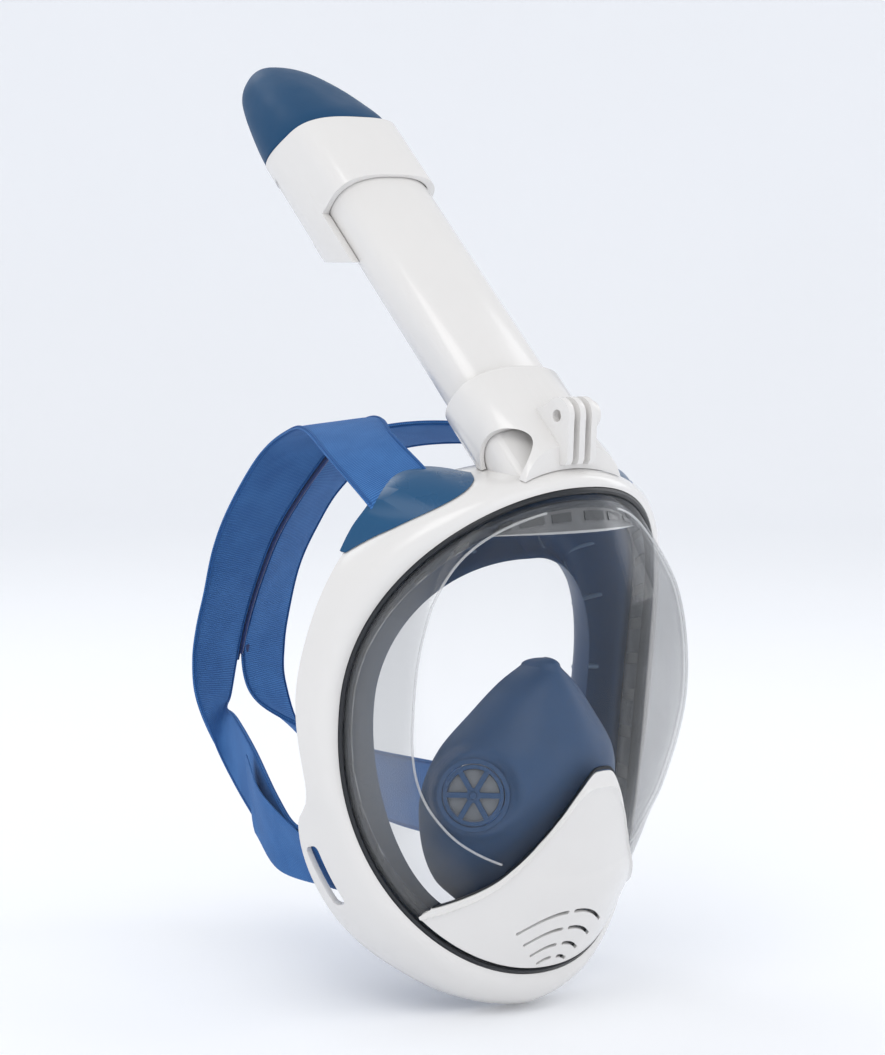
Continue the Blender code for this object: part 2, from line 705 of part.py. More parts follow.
# ---- Skirt ----
def skirt_section(angle):
    """Closed section: the clamped bead, the wall back to the face, and the flap in to its edge."""
    turn = abs(math.degrees(math.remainder(angle, 2 * math.pi)))
    bead_front = RIM_DEPTH + GAP + 0.1 * LENS_WALL
    bead_out = -LENS_INSET + 0.0018
    bead_in = -LENS_INSET - LENS_WALL - 0.0030
    bead = [rim_point(angle, bead_in, bead_front), rim_point(angle, bead_out, bead_front),
            rim_point(angle, bead_out, bead_front + BEAD_DEPTH - GAP)]
    lip = radius_of(LIP, angle)
    face = radius_of(FACE, angle)
    edge_y = through([(0, FACE_TOP_Y), (90, FACE_SIDE_Y), (180, FACE_BOTTOM_Y)], turn)
    roll = through([(0, 0.012), (90, 0.017), (180, 0.014)], turn)

    def at(radius, y):
        return Vector((radius * math.sin(angle), y, EYE_Z + radius * math.cos(angle)))

    wall = lip - LENS_INSET - LENS_WALL - 0.0035
    turn_back = edge_y + roll
    bead_y = rim_point(angle, 0, bead_front + BEAD_DEPTH - GAP).y
    t = SKIRT_WALL
    outer = [at(wall + t * 0.9, bead_y), at(wall + 0.3 * t, bead_y + 0.6 * (turn_back - bead_y)),
             at(wall - 0.004, turn_back), at((wall + face) / 2, turn_back + 0.0035), at(face + 0.004, turn_back - 0.003),
             at(face, edge_y)]
    inner = [at(face + t * 0.8, edge_y - t * 0.2), at(face + 0.0055, turn_back - 0.003 - t),
             at((wall + face) / 2, turn_back + 0.0035 - t), at(wall - 0.004 - t, turn_back - t),
             at(wall - 0.8 * t, bead_y + 0.55 * (turn_back - bead_y)), at(wall - 0.3 * t, bead_y)]
    return bead + outer + inner


def face_skirt():
    loops = [skirt_section(angle) for angle in turns(STEPS_ROUND)]
    return place("face_skirt", skin(loops, wrap=True), BLUE_SILICONE)


# ---- Strap, its clips and its pins ----
# Each clip station: clock angle, front edge back, crease out and back, rear edge out and back
CLIP = [(51.0, 0.0245, 0.0128, 0.0262, 0.0134, 0.0272), (46.0, 0.0180, 0.0168, 0.0245, 0.0178, 0.0265),
        (42.0, 0.0135, 0.0190, 0.0238, 0.0202, 0.0262), (34.0, 0.0095, 0.0186, 0.0250, 0.0198, 0.0360),
        (27.0, 0.0110, 0.0166, 0.0300, 0.0182, 0.0430), (21.5, 0.0190, 0.0130, 0.0370, 0.0140, 0.0445),
        (17.5, 0.0310, 0.0100, 0.0400, 0.0103, 0.0425)]


def clip_station(turn):
    """Front edge, crease (out, back) and rear edge (out, back) of a clip at a clock angle."""
    return [through([(row[0], row[k]) for row in CLIP[::-1]], turn) for k in range(1, len(CLIP[0]))]


def upper_clip(side, word):
    loops = []
    for turn in spread(CLIP[0][0], CLIP[-1][0], 17):
        angle = math.radians(turn) * side
        front, crease_out, crease_back, rear_out, rear_back = clip_station(turn)

        def on_frame(back):
            return rim_point(angle, frame_out(angle, back) + GAP * 1.6, back)

        loop = [on_frame(front), rim_point(angle, crease_out, crease_back), rim_point(angle, rear_out, rear_back)]
        loop += [on_frame(rear_back + (front - rear_back) * k / 5) for k in range(5)]
        loops.append(loop)
    return place("upper_strap_clip_" + word, skin(loops), BLUE_PLASTIC)


def ribbon(name, outer, inner, wall=STRAP_WALL, steps=30, look=BLUE_WEBBING):
    """A flat band between two edges, each a smooth curve through its own points."""
    edges = []
    for route in (outer, inner):
        knots = [(k / (len(route) - 1), Vector(point)) for k, point in enumerate(route)]
        edges.append([through(knots, t) for t in spread(0, 1, steps)])
    loops = []
    for k in range(steps):
        ahead, behind = min(k + 1, steps - 1), max(k - 1, 0)
        along = (edges[0][ahead] + edges[1][ahead]) - (edges[0][behind] + edges[1][behind])
        across = edges[1][k] - edges[0][k]
        lift = along.cross(across).normalized() * wall / 2
        middle = (edges[0][k] + edges[1][k]) / 2
        loops.append([edges[0][k] - lift, middle - lift, edges[1][k] - lift,
                      edges[1][k] + lift, middle + lift, edges[0][k] + lift])
    return place(name, skin(loops), look)


# The lying strap's edges, chosen by hand. The band's two halves meet at a sewn seam in the middle.
BAND_RIGHT_OUTER = [(-0.0745, -0.0100, 0.1035), (-0.066, 0.022, 0.119), (-0.051, 0.060, 0.129),
                    (-0.039, 0.090, 0.126), (-0.037, 0.112, 0.115), (-0.037, 0.134, 0.092),
                    (-0.037, 0.147, 0.072), (-0.037, 0.155, 0.050), (-0.037, 0.161, 0.034),
                    (-0.037, 0.164, 0.019), (-0.038, 0.160, 0.003), (-0.043, 0.140, -0.014),
                    (-0.052, 0.108, -0.031), (-0.061, 0.078, -0.043), (-0.0670, 0.054, -0.0545),
                    (-0.0658, 0.036, -0.0565)]
BAND_RIGHT_INNER = [(-0.0500, -0.0050, 0.1180), (-0.037, 0.015, 0.128), (-0.020, 0.045, 0.1335),
                    (-0.006, 0.076, 0.1305), (-0.001, 0.104, 0.119), (-0.001, 0.131, 0.0955),
                    (-0.001, 0.150, 0.075), (-0.001, 0.164, 0.053), (-0.001, 0.173, 0.035),
                    (-0.001, 0.179, 0.018), (-0.006, 0.178, -0.001), (-0.020, 0.161, -0.004),
                    (-0.040, 0.126, -0.002), (-0.056, 0.090, -0.010), (-0.068, 0.058, -0.024),
                    (-0.0745, 0.0360, -0.0330)]
BAND_LEFT_OUTER = [(0.0745, -0.0100, 0.1035), (0.069, 0.020, 0.112), (0.060, 0.060, 0.119),
                   (0.048, 0.100, 0.118), (0.040, 0.128, 0.110), (0.037, 0.150, 0.095),
                   (0.037, 0.168, 0.076), (0.037, 0.181, 0.058), (0.037, 0.189, 0.038),
                   (0.037, 0.194, 0.018), (0.039, 0.196, -0.002), (0.046, 0.189, -0.030),
                   (0.058, 0.158, -0.060), (0.067, 0.118, -0.068), (0.0690, 0.076, -0.066),
                   (0.0655, 0.036, -0.0575)]
BAND_LEFT_INNER = [(0.0500, -0.0050, 0.1180), (0.042, 0.024, 0.126), (0.027, 0.058, 0.130),
                   (0.010, 0.084, 0.1275), (0.001, 0.104, 0.119), (0.001, 0.131, 0.0955),
                   (0.001, 0.150, 0.075), (0.001, 0.164, 0.053), (0.001, 0.173, 0.035),
                   (0.001, 0.179, 0.018), (0.008, 0.182, -0.002), (0.022, 0.176, -0.014),
                   (0.042, 0.148, -0.026), (0.060, 0.108, -0.031), (0.0710, 0.070, -0.033),
                   (0.0745, 0.0360, -0.0330)]


# Edges of the sewn-back end of each lower strap, from its fold forwards to the frame
TAIL_RIGHT = ([(-0.0640, 0.078, -0.0445), (-0.0700, 0.052, -0.0560)],
              [(-0.0600, 0.090, -0.0125), (-0.0735, 0.060, -0.0240)])
TAIL_LEFT = ([(0.0745, 0.080, -0.0660), (0.0712, 0.050, -0.0610)],
             [(0.0775, 0.082, -0.0340), (0.0785, 0.052, -0.0345)])


def strap_edge_angle(side, edge):
    """Clock angle of the lower strap's edge where it passes the frame: edge is 1 for the lower one."""
    return math.radians(SLOT_ANGLE + edge * STRAP_HALF_TURN) * side


def bar_back():
    return SLOT_BACK - SLOT_WIDTH / 2


def loop_route(side, edge):
    """The strap's path round its bar, seen in the rim's own directions, from outside the bar to inside it."""
    angle = strap_edge_angle(side, edge)
    radius = BAR_SIZE / 2 + GAP + STRAP_WALL / 2 + 0.0004
    rear = through(FRAME_DEPTH, abs(math.degrees(angle))) + 0.002
    route = [(BAR_OUT + radius, rear), (BAR_OUT + radius, (rear + bar_back()) / 2)]
    for turn in spread(90, -90, 7):
        bend = math.radians(turn)
        route.append((BAR_OUT + radius * math.sin(bend), bar_back() - radius * math.cos(bend)))
    route.append((BAR_OUT - radius, (rear + bar_back()) / 2))
    return [rim_point(angle, out, back) for out, back in route]


def band_end(side, edge):
    angle = strap_edge_angle(side, edge)
    radius = BAR_SIZE / 2 + GAP + STRAP_WALL / 2 + 0.0004
    rear = through(FRAME_DEPTH, abs(math.degrees(angle))) + 0.002
    middle = (rear + bar_back()) / 2
    return [rim_point(angle, BAR_OUT - radius, back) for back in (rear, middle + 0.0006)]


def strap_bar(side, word):
    """The bar inside the frame that the lower strap goes round, with a foot at each end on the frame's wall."""
    low, high = bar_back() - BAR_SIZE / 2, bar_back() + BAR_SIZE / 2
    loops = []
    for offset in (-BAR_END_TURN, -7.4, -7.3, 7.3, 7.4, BAR_END_TURN):
        angle = math.radians(SLOT_ANGLE + offset) * side
        top = BAR_OUT + BAR_SIZE / 2
        if abs(offset) > 7.35:
            top = min(frame_inner_out(angle, low), frame_inner_out(angle, high)) - 2 * GAP
        bottom, ease = BAR_OUT - BAR_SIZE / 2, BAR_SIZE * 0.29
        corners = [(bottom + ease, low), (top - ease, low), (top, low + ease), (top, high - ease),
                   (top - ease, high), (bottom + ease, high), (bottom, high - ease), (bottom, low + ease)]
        loops.append([rim_point(angle, out, back) for out, back in corners])
    place("lower_strap_bar_" + word, skin(loops), WHITE_ABS)


def strap():
    for side, word, outer, inner, tail in ((-1, "right", BAND_RIGHT_OUTER, BAND_RIGHT_INNER, TAIL_RIGHT),
                                           (1, "left", BAND_LEFT_OUTER, BAND_LEFT_INNER, TAIL_LEFT)):
        ribbon("strap_band_" + word, outer + band_end(side, 1), inner + band_end(side, -1), steps=44)
        edges = [points + loop_route(side, edge) for points, edge in zip(tail, (1, -1))]
        ribbon("strap_tail_" + word, *edges, steps=34)
        strap_bar(side, word)


# ---- Snorkel ----
def collar(axis):
    """The snorkel's lower end: a sleeve over the neck, with an arch cut in each side and the camera fins."""
    outside = grown((NECK[0], NECK[2], NECK[2]), COLLAR_GAP + COLLAR_WALL)
    levels = [(-0.030, 0), (COLLAR_TOP - COLLAR_EDGE, 0), (COLLAR_TOP, -COLLAR_EDGE)]
    loops = [tube_loop(*grown(outside, ease), h) for h, ease in levels]
    body = place("snorkel_collar", skin(loops), WHITE_ABS, parent=axis)
    boolean(body, place("before_collar", block((0.2, 0.1, 0.3), (0, COLLAR_FRONT_Y - 0.05, 0.1))))
    for number in (-1, 0, 1):
        middle = number * FIN_PITCH
        fin = fin_solid(middle - FIN_WALL / 2, middle + FIN_WALL / 2)
        boolean(body, place(f"fin_{number}", fin, matrix=SIDEWAYS), "UNION")
    far = FIN_PITCH + FIN_WALL / 2
    boss = cylinder(NUT_RADIUS + NUT_WALL, far - 0.0005, far + NUT_THICKNESS)
    boolean(body, place("nut_boss", boss, matrix=Matrix.Translation((0, FIN_Y, FIN_Z)) @ TURN_TO_X), "UNION")
    boolean(body, straight("collar_bore", grown(NECK, COLLAR_GAP), -0.05, TUBE_BOTTOM - GAP))
    boolean(body, straight("tube_socket", grown(TUBE, GAP), 0.032, 0.06))
    boolean(body, place("frame_below", frame_envelope(COLLAR_LIFT)))
    below = block((0.2, 0.2, 0.1), (0, -0.04, FRAME_TOP_Z - COLLAR_DROP - 0.05))
    boolean(body, place("below_collar", below))
    floor = FRAME_TOP_Z + COLLAR_LIFT
    arch = [(ARCH_Y + ARCH_HALF * math.cos(a), floor + ARCH_HEIGHT * math.sin(a)) for a in turns(28)]
    boolean(body, place("side_arch", prism([arch], -0.05, 0.05), matrix=SIDEWAYS))
    hole = Matrix.Translation((0, FIN_Y, FIN_Z)) @ TURN_TO_X
    boolean(body, place("fin_hole", cylinder(FIN_HOLE, -0.02, 0.02, 24), matrix=hole))
    pocket = cylinder(NUT_RADIUS + GAP, far, far + 0.01, 6)
    boolean(body, place("nut_pocket", pocket, matrix=hole))
    nut = cylinder(NUT_RADIUS, far + GAP, far + NUT_THICKNESS - GAP, 6)
    nut = place("camera_mount_nut", nut, STEEL, matrix=hole)
    boolean(nut, place("nut_hole", cylinder(FIN_HOLE, -0.02, 0.03, 24), matrix=hole))
    nut.parent = axis
    nut.matrix_parent_inverse = tube_matrix().inverted()


# A flat outline's X, Y and height become Y, Z and X
SIDEWAYS = Matrix(((0, 0, 1), (1, 0, 0), (0, 1, 0))).to_4x4()
TURN_TO_X = Matrix.Rotation(math.pi / 2, 4, "Y")


def tube_at(q, h):
    """Front-to-back and height of a point in the tube's frame, seen from the side."""
    point = tube_matrix() @ Vector((0, q, h))
    return point.y, point.z


def fin_solid(low, high):
    """One camera fin: a round end about the bolt hole, on a foot that runs down the collar's front."""
    wall = COLLAR_FRONT_Y + COLLAR_WALL / 2
    inside = -(NECK[2] + COLLAR_GAP + COLLAR_WALL / 2)
    floor = FRAME_TOP_Z + COLLAR_LIFT
    outline = []
    for degrees in spread(195, 35, 10):
        turn = math.radians(degrees)
        outline.append((FIN_Y + FIN_RADIUS * math.cos(turn), FIN_Z + FIN_RADIUS * math.sin(turn)))
    outline += [tube_at(inside, 0.0190), tube_at(inside, -0.0010), (wall, floor + 0.0050), (wall, floor),
                (wall - 0.0045, floor), (wall - 0.0058, floor + 0.0020)]
    return prism([outline], low, high)


def channel(low, high, count=9):
    """One channel's outline inside the tube, between two widths."""
    half, deep = TUBE[0] - TUBE_WALL, TUBE[1] - TUBE_WALL
    upper = []
    for x in spread(low, high, count):
        share = min(abs(x) / half, 0.997)
        upper.append((x, deep * (1 - share ** SQUARENESS) ** (1 / SQUARENESS)))
    return upper + [(x, -y) for x, y in reversed(upper)]


def tube(axis):
    wall = CHANNEL_WALL / 2
    half = TUBE[0] - TUBE_WALL
    channels = [channel(-CHANNEL_HALF + wall, CHANNEL_HALF - wall), channel(CHANNEL_HALF + wall, half * 0.997),
                channel(-half * 0.997, -CHANNEL_HALF - wall)]
    outlines = [oval(*TUBE, SQUARENESS, 36)] + channels
    place("snorkel_tube", prism(outlines, TUBE_BOTTOM, TUBE_TOP), WHITE_ABS, parent=axis)
    windows = []
    for side in (1, -1):
        for window in spoked_outlines(EXHALE_RADIUS, 0.0010, 0.0014, 0.0012, 4)[1:]:
            windows.append([(x + side * EXHALE_X, y) for x, y in window])
    low = TUBE_TOP + GAP
    outer = oval(*TUBE, SQUARENESS, 36)
    plate = prism([outer, channels[0]] + windows, low, low + SEAT_WALL)
    place("exhale_valve_plate", plate, WHITE_ABS, parent=axis)
    for side, word in ((1, "left"), (-1, "right")):
        flap = cylinder(EXHALE_RADIUS, low + SEAT_WALL + GAP, low + SEAT_WALL + GAP + FLAP_WALL)
        bmesh.ops.translate(flap, vec=(side * EXHALE_X, 0, 0), verts=flap.verts)
        place("exhale_valve_flap_" + word, flap, GREY_SILICONE, parent=axis)


# ---- Dry top ----
def top_loop(half, front, back, height, rise=0.0, count=36):
    return [Vector((x, y, height + rise * y)) for x, y in oval(half, front, back, TOP_SQUARENESS, count)]


def top_solid(name, inset, look=None, axis=None):
    """The dry top's body as a solid, or the same shape pulled in by a wall all round."""
    sizes = [size - inset for size in TOP]
    joint = JOINT_H + (0.02 if inset else 0.0)
    loops = [top_loop(*sizes, 0.120), top_loop(*sizes, joint, JOINT_RISE)]
    body = place(name, skin(loops), look, parent=axis)
    if not look:
        body.matrix_local = tube_matrix()
    floor = place(name + "_floor", block((0.2, 0.3, 0.2), (0, 0.1, BOX_BOTTOM_Z + inset - 0.1)))
    step = block((0.1, 0.1, 0.1), (0, BOX_FRONT + inset - 0.05, SHELL_BOTTOM + inset - 0.05))
    boolean(body, floor)
    return boolean(body, place(name + "_step", step, matrix=tube_matrix()))


def dry_top(axis):
    body = top_solid("drytop_housing", 0.0, WHITE_ABS, axis)
    boolean(body, top_solid("drytop_cavity", TOP_WALL))
    boolean(body, straight("tube_passage", grown(TUBE, GAP), 0.11, 0.19))
    width, height = REAR_WINDOW
    window = block((width, 0.020, height), (0, TOP[2], REAR_WINDOW_H))
    boolean(body, place("rear_window", window, matrix=tube_matrix()))
    outlet = Matrix.Translation((0, tube_at(0.0235, 0.146)[0], BOX_BOTTOM_Z))
    boolean(body, place("outlet", cylinder(OUTLET_RADIUS, -0.01, 0.01, 20), matrix=outlet))
    rear_cover(axis, width, height)
    cap(axis)
    float_valve(axis)


def rear_cover(axis, width, height):
    """A vented panel that closes the window in the dry top's back."""
    sizes = [[size - inset for size in TOP] for inset in (GAP, TOP_WALL)]
    heights = (REAR_WINDOW_H - 0.03, REAR_WINDOW_H + 0.03)
    outer, inner = [[top_loop(*size, h) for h in heights] for size in sizes]
    panel = place("drytop_rear_cover", sleeve(outer, inner), WHITE_ABS, parent=axis)
    keep = block((width - 2 * GAP, 0.019, height - 2 * GAP), (0, TOP[2], REAR_WINDOW_H))
    boolean(panel, place("rear_cover_keep", keep, matrix=tube_matrix()), "INTERSECT")
    for number in range(5):
        level = REAR_WINDOW_H + (number - 2) * 0.0062
        slot = block((width * 0.62, 0.030, 0.0022), (0, TOP[2], level))
        boolean(panel, place(f"rear_vent_{number}", slot, matrix=tube_matrix()))


def cap_loops(inset):
    loops = []
    for rise, share, front, back in CAP_LEVELS:
        slope = JOINT_RISE * (1 - rise / CAP_LEVELS[-1][0])
        sizes = (TOP[0] * share - inset, front - inset, back - inset)
        loops.append(cap_loop(*sizes, JOINT_H + GAP + rise - (inset if rise else 0), slope))
    return loops


def cap_loop(half, front, back, height, rise, count=36):
    """A level of the cap, whose section may lie wholly behind the tube's axis."""
    middle = (back - front) / 2
    depth = (back + front) / 2
    return [Vector((x, middle + y, height + rise * (middle + y)))
            for x, y in oval(half, depth, depth, 2.5, count)]


def cap(axis):
    outer = cap_loops(0.0)
    inner = cap_loops(TOP_WALL)[:-1:2]
    place("drytop_cap", skin(inner[::-1] + outer), BLUE_PLASTIC, parent=axis)


def float_valve(axis):
    """The float that shuts the air port when the top goes under, in its cage below the port's seat."""
    width, depth, height = FLOAT_SIZE
    floor = CAGE_FLOOR + CAGE_WALL + GAP
    body = place("drytop_float", block(FLOAT_SIZE, (0, FLOAT_Q, floor + height / 2)), BLUE_PLASTIC, parent=axis)
    soften(body, 0.0012)
    seal_low = floor + height + GAP
    seal = block((width - 0.002, depth - 0.001, FLOAT_SEAL_WALL), (0, FLOAT_Q, seal_low + FLOAT_SEAL_WALL / 2))
    soften(place("float_seal", seal, BLACK_RUBBER, parent=axis), 0.0004, 1)
    seat_low = seal_low + FLOAT_SEAL_WALL + FLOAT_TRAVEL + GAP
    back = [size - TOP_WALL - GAP for size in TOP]
    front = TUBE[1] + 2 * GAP
    outline = [(x, y) for x, y in oval(*back, TOP_SQUARENESS, 36) if y > front]
    edge = [(min(x for x, y in outline), front), (max(x for x, y in outline), front)]
    port = [(sx * PORT[0] / 2, FLOAT_Q + sy * PORT[1] / 2) for sx, sy in ((-1, -1), (1, -1), (1, 1), (-1, 1))]
    seat = prism([outline + edge, port], seat_low, seat_low + SEAT_WALL)
    place("float_valve_seat", seat, WHITE_ABS, parent=axis)
    cage_front, cage_back = TUBE[1] + 2 * GAP, FLOAT_Q + depth / 2 - 0.001
    side = width / 2 + 2 * GAP
    plate = block((2 * (side + CAGE_WALL), cage_back - cage_front, CAGE_WALL),
                  (0, (cage_front + cage_back) / 2, CAGE_FLOOR + CAGE_WALL / 2))
    cage = place("float_cage", plate, WHITE_ABS, parent=axis)
    top = seat_low - GAP
    for sign in (-1, 1):
        rail = block((CAGE_WALL, cage_back - cage_front, top - CAGE_FLOOR),
                     (sign * (side + CAGE_WALL / 2), (cage_front + cage_back) / 2, (top + CAGE_FLOOR) / 2))
        boolean(cage, place(f"cage_rail_{sign}", rail, matrix=tube_matrix()), "UNION")


def snorkel():
    axis = bpy.data.objects.new("snorkel_axis", None)
    PARTS.objects.link(axis)
    axis.matrix_local = tube_matrix()
    lifts = (COLLAR_GAP - GAP, GAP - SEAL_DEPTH)
    loops = [[tube_loop(*grown(NECK, lift), h) for h in (SEAL_LOW + GAP, SEAL_HIGH - GAP)] for lift in lifts]
    place("neck_seal", sleeve(*loops), BLACK_RUBBER, matrix=tube_matrix())
    collar(axis)
    tube(axis)
    dry_top(axis)


def main():
    main_frame()
    lens()
    lens_rim_ring("lens_gasket", BLACK_RUBBER, -LENS_INSET + GAP, -GAP, -0.0002, RIM_DEPTH - 0.001)
    retainer()
    duct_panel()
    chin_cover()
    purge_valve()
    nose_pocket()
    face_skirt()
    for side, word in ((1, "left"), (-1, "right")):
        upper_clip(side, word)
    strap()
    snorkel()


main()
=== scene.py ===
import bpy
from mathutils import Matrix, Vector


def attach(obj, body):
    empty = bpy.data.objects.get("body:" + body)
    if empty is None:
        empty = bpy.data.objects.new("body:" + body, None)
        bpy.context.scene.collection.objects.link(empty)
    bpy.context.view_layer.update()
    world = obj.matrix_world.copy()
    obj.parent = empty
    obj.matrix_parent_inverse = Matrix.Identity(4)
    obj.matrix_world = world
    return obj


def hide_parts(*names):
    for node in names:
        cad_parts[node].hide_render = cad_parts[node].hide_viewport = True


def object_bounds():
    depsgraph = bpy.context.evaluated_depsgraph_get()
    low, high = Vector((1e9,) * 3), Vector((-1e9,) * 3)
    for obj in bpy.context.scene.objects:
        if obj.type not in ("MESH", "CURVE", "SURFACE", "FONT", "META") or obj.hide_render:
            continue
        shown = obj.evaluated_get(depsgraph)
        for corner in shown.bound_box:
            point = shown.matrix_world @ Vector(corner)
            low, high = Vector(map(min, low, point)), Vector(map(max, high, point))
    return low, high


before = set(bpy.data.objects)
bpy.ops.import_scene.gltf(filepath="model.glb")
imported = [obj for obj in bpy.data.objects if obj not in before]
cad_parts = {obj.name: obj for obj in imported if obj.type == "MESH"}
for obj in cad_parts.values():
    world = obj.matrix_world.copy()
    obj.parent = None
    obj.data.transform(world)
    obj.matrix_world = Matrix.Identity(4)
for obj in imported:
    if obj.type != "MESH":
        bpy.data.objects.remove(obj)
"""Full face snorkel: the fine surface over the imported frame.

Metres. +X is the wearer's left, -Y the front, +Z up; the origin is the centre of the face opening.
Each piece repeats the shape of the CAD node that it stands for, with finer steps, rounded edges and
the details that are too small for the frame.
"""
import math

import bmesh
import bpy
from mathutils import Matrix, Vector

CAD_BOX = [list(corner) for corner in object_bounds()]

# ---- Driving dimensions: outlines seen from the front, as half width, rise, drop and squareness ----
EYE_Z = 0.020  # height of the centre that every outline is drawn round
LIP = (0.0850, 0.0894, 0.1135, 2.15)  # front lip of the frame
# Bend between the lens's front and its side walls
BEND = (LIP[0] - 0.0065, LIP[1] + 0.0006, LIP[2] - 0.0445, 2.20)
FACE = (0.0580, 0.0570, 0.0950, 2.10)  # edge of the face opening

# ---- Front lip, and the frame's rounded band behind it ----
LIP_TOP_Y = -0.0610
LIP_BOTTOM_Y = -0.0380
LIP_WRAP = 0.0420  # how far back the lip has wrapped at its widest
WALL = 0.0025
FRAME_REACH = [(0, 0.0085), (15, 0.0088), (30, 0.011), (47, 0.012), (73, 0.010), (90, 0.009), (108, 0.0075),
               (118, 0.0066), (126, 0.0076), (137, 0.0094), (155, 0.0117), (166, 0.0145), (180, 0.017)]
FRAME_DEPTH = [(0, 0.046), (20, 0.046), (30, 0.043), (42, 0.033), (52, 0.026), (70, 0.019), (90, 0.017),
               (108, 0.0146), (114, 0.018), (120, 0.028), (137, 0.0345), (152, 0.036), (164, 0.028),
               (180, 0.023)]
FRAME_SQUARENESS = [(0, 3.6), (40, 2.6), (90, 2.2), (180, 2.2)]
STEPS_ROUND = 192
ROUND_SIDES = 72  # sides of a small round piece
OVAL_SIDES = 144  # sides of the tube and the dry top

# ---- Lens, and what holds it ----
GAP = 0.0003  # gap between pieces that rest on each other
GASKET_WIDTH = 0.0024
RIM_DEPTH = 0.0090  # how far the lens's rim reaches behind the lip
LENS_WALL = 0.0020
BEND_Y = -0.0420  # the bend lies in one upright plane
BEND_MARGIN = 0.0015  # least width of the side wall between the bend and the rim
LENS_MIDLINE = [(-0.100, -0.0365), (-0.069, -0.0505), (-0.035, -0.0630), (-0.004, -0.0715),
                (0.020, -0.0720), (0.050, -0.0705), (0.092, -0.0650), (0.112, -0.0605)]
LENS_HALF_WIDTH = [(-0.098, 0.030), (-0.060, 0.044), (-0.035, 0.054), (-0.022, 0.063), (0.010, 0.076),
                   (0.035, 0.0785), (0.064, 0.0725), (0.092, 0.054), (0.112, 0.048)]
DRAWN_HALF_WIDTH = 0.0850  # the lip's half width that the table above was drawn for
BEAD_DEPTH = 0.0040
RETAINER_DEPTH = 0.0040

# ---- Forehead duct, chin cover and purge valve ----
DUCT_Z = 0.0920  # straight lower edge of the duct panel
DUCT_WALL = 0.0012
COVER_WALL = 0.0016
COVER_GAP = 0.0005
COVER_INSET = 0.0012
COVER_TIP = 0.0040  # height of the cover's two blunt upper ends
COVER_TOP = [(0.000, -0.0040), (0.005, -0.0050), (0.011, -0.0125), (0.018, -0.0240), (0.026, -0.0365),
             (0.036, -0.0480), (0.048, -0.0575), (0.058, -0.0630), (0.075, -0.0690)]
PURGE_Z = -0.0720
PURGE_LEAN = 26.0  # degrees that the purge valve's axis points below level
PURGE_RADIUS = 0.0120
PURGE_DEPTH = 0.0065
SLOT_ROWS = [(0.0085, 0.0200, 0.0100), (0.0000, 0.0150, 0.0072), (-0.0082, 0.0100, 0.0048),
             (-0.0152, 0.0050, 0.0022)]

# ---- Nose pocket: level, half width, ridge, rim ----
POCKET = [(-0.066, 0.022, -0.026, -0.008), (-0.055, 0.034, -0.036, -0.007), (-0.038, 0.042, -0.049, -0.008),
          (-0.018, 0.044, -0.060, -0.010), (0.000, 0.038, -0.0635, -0.014), (0.016, 0.026, -0.0565, -0.021),
          (0.028, 0.015, -0.0500, -0.026), (0.0345, 0.006, -0.0455, -0.029)]
POCKET_WALL = 0.0018
INHALE_CENTRE = Vector((0.0365, -0.0350, -0.0155))
INHALE_AXIS = Vector((0.72, -0.69, 0.08)).normalized()
INHALE_RADIUS = 0.0125
INHALE_DEPTH = 0.0050
VALVE_RIM = 0.0016
WHEEL_WALL = 0.0015
HUB_RADIUS = 0.0030
FLAP_WALL = 0.0010
SPOKES = 6
SPOKE_WIDTH = 0.0022

# ---- Skirt ----
SKIRT_WALL = 0.0020
FACE_TOP_Y = -0.0285
FACE_SIDE_Y = 0.0010
FACE_BOTTOM_Y = -0.0030

# ---- Strap ----
STRAP_WALL = 0.0016
SLOT_ANGLE = 132.3  # where round the frame the lower strap goes through
SLOT_LENGTH = 0.0275
SLOT_WIDTH = 0.0080
SLOT_BACK = 0.0240
STRAP_HALF_TURN = 6.6  # degrees from the middle of the slot to the strap's edge
BAR_SIZE = 0.0032
BAR_BACK = SLOT_BACK - SLOT_WIDTH / 2  # how far behind the lip the strap's bar lies
LOOP_RADIUS = BAR_SIZE / 2 + GAP + STRAP_WALL / 2 + 0.0004  # middle of the strap where it turns round its bar

# ---- Snorkel: foot of the axis, lean, and sections as half width and half depth ----
TUBE_FOOT = Vector((0.0, -0.0400, 0.1145))
TUBE_LEAN = 45.4
SQUARENESS = 2.5
NECK = (0.0248, 0.0110, 0.0158)  # half width, front and back
NECK_WALL = 0.0025
NECK_TOP = 0.0320
COLLAR_GAP = 0.0005
COLLAR_WALL = 0.0022
COLLAR_TOP = 0.0430
COLLAR_EDGE = 0.0012
COLLAR_DROP = 0.0080  # how far the collar reaches down the frame's shoulders
COLLAR_LIFT = 0.0005  # gap between the collar's foot and the frame's top
COLLAR_FRONT_Y = -0.0543  # the collar has an upright flat front
TUBE = (0.0245, 0.0155, 0.0155)
TUBE_WALL = 0.0018
TUBE_BOTTOM = 0.0335
TUBE_TOP = 0.1760
CHANNEL_WALL = 0.0012
CHANNEL_HALF = 0.0090
ARCH_Y = -0.0398
ARCH_HALF = 0.0122
ARCH_HEIGHT = 0.0145
FIN_WALL = 0.0030
FIN_PITCH = 0.0062
FIN_RADIUS = 0.0075
FIN_HOLE = 0.0025
FIN_Y = -0.0525
FIN_Z = 0.1380
NUT_RADIUS = 0.0042
NUT_THICKNESS = 0.0035
NUT_WALL = 0.0015

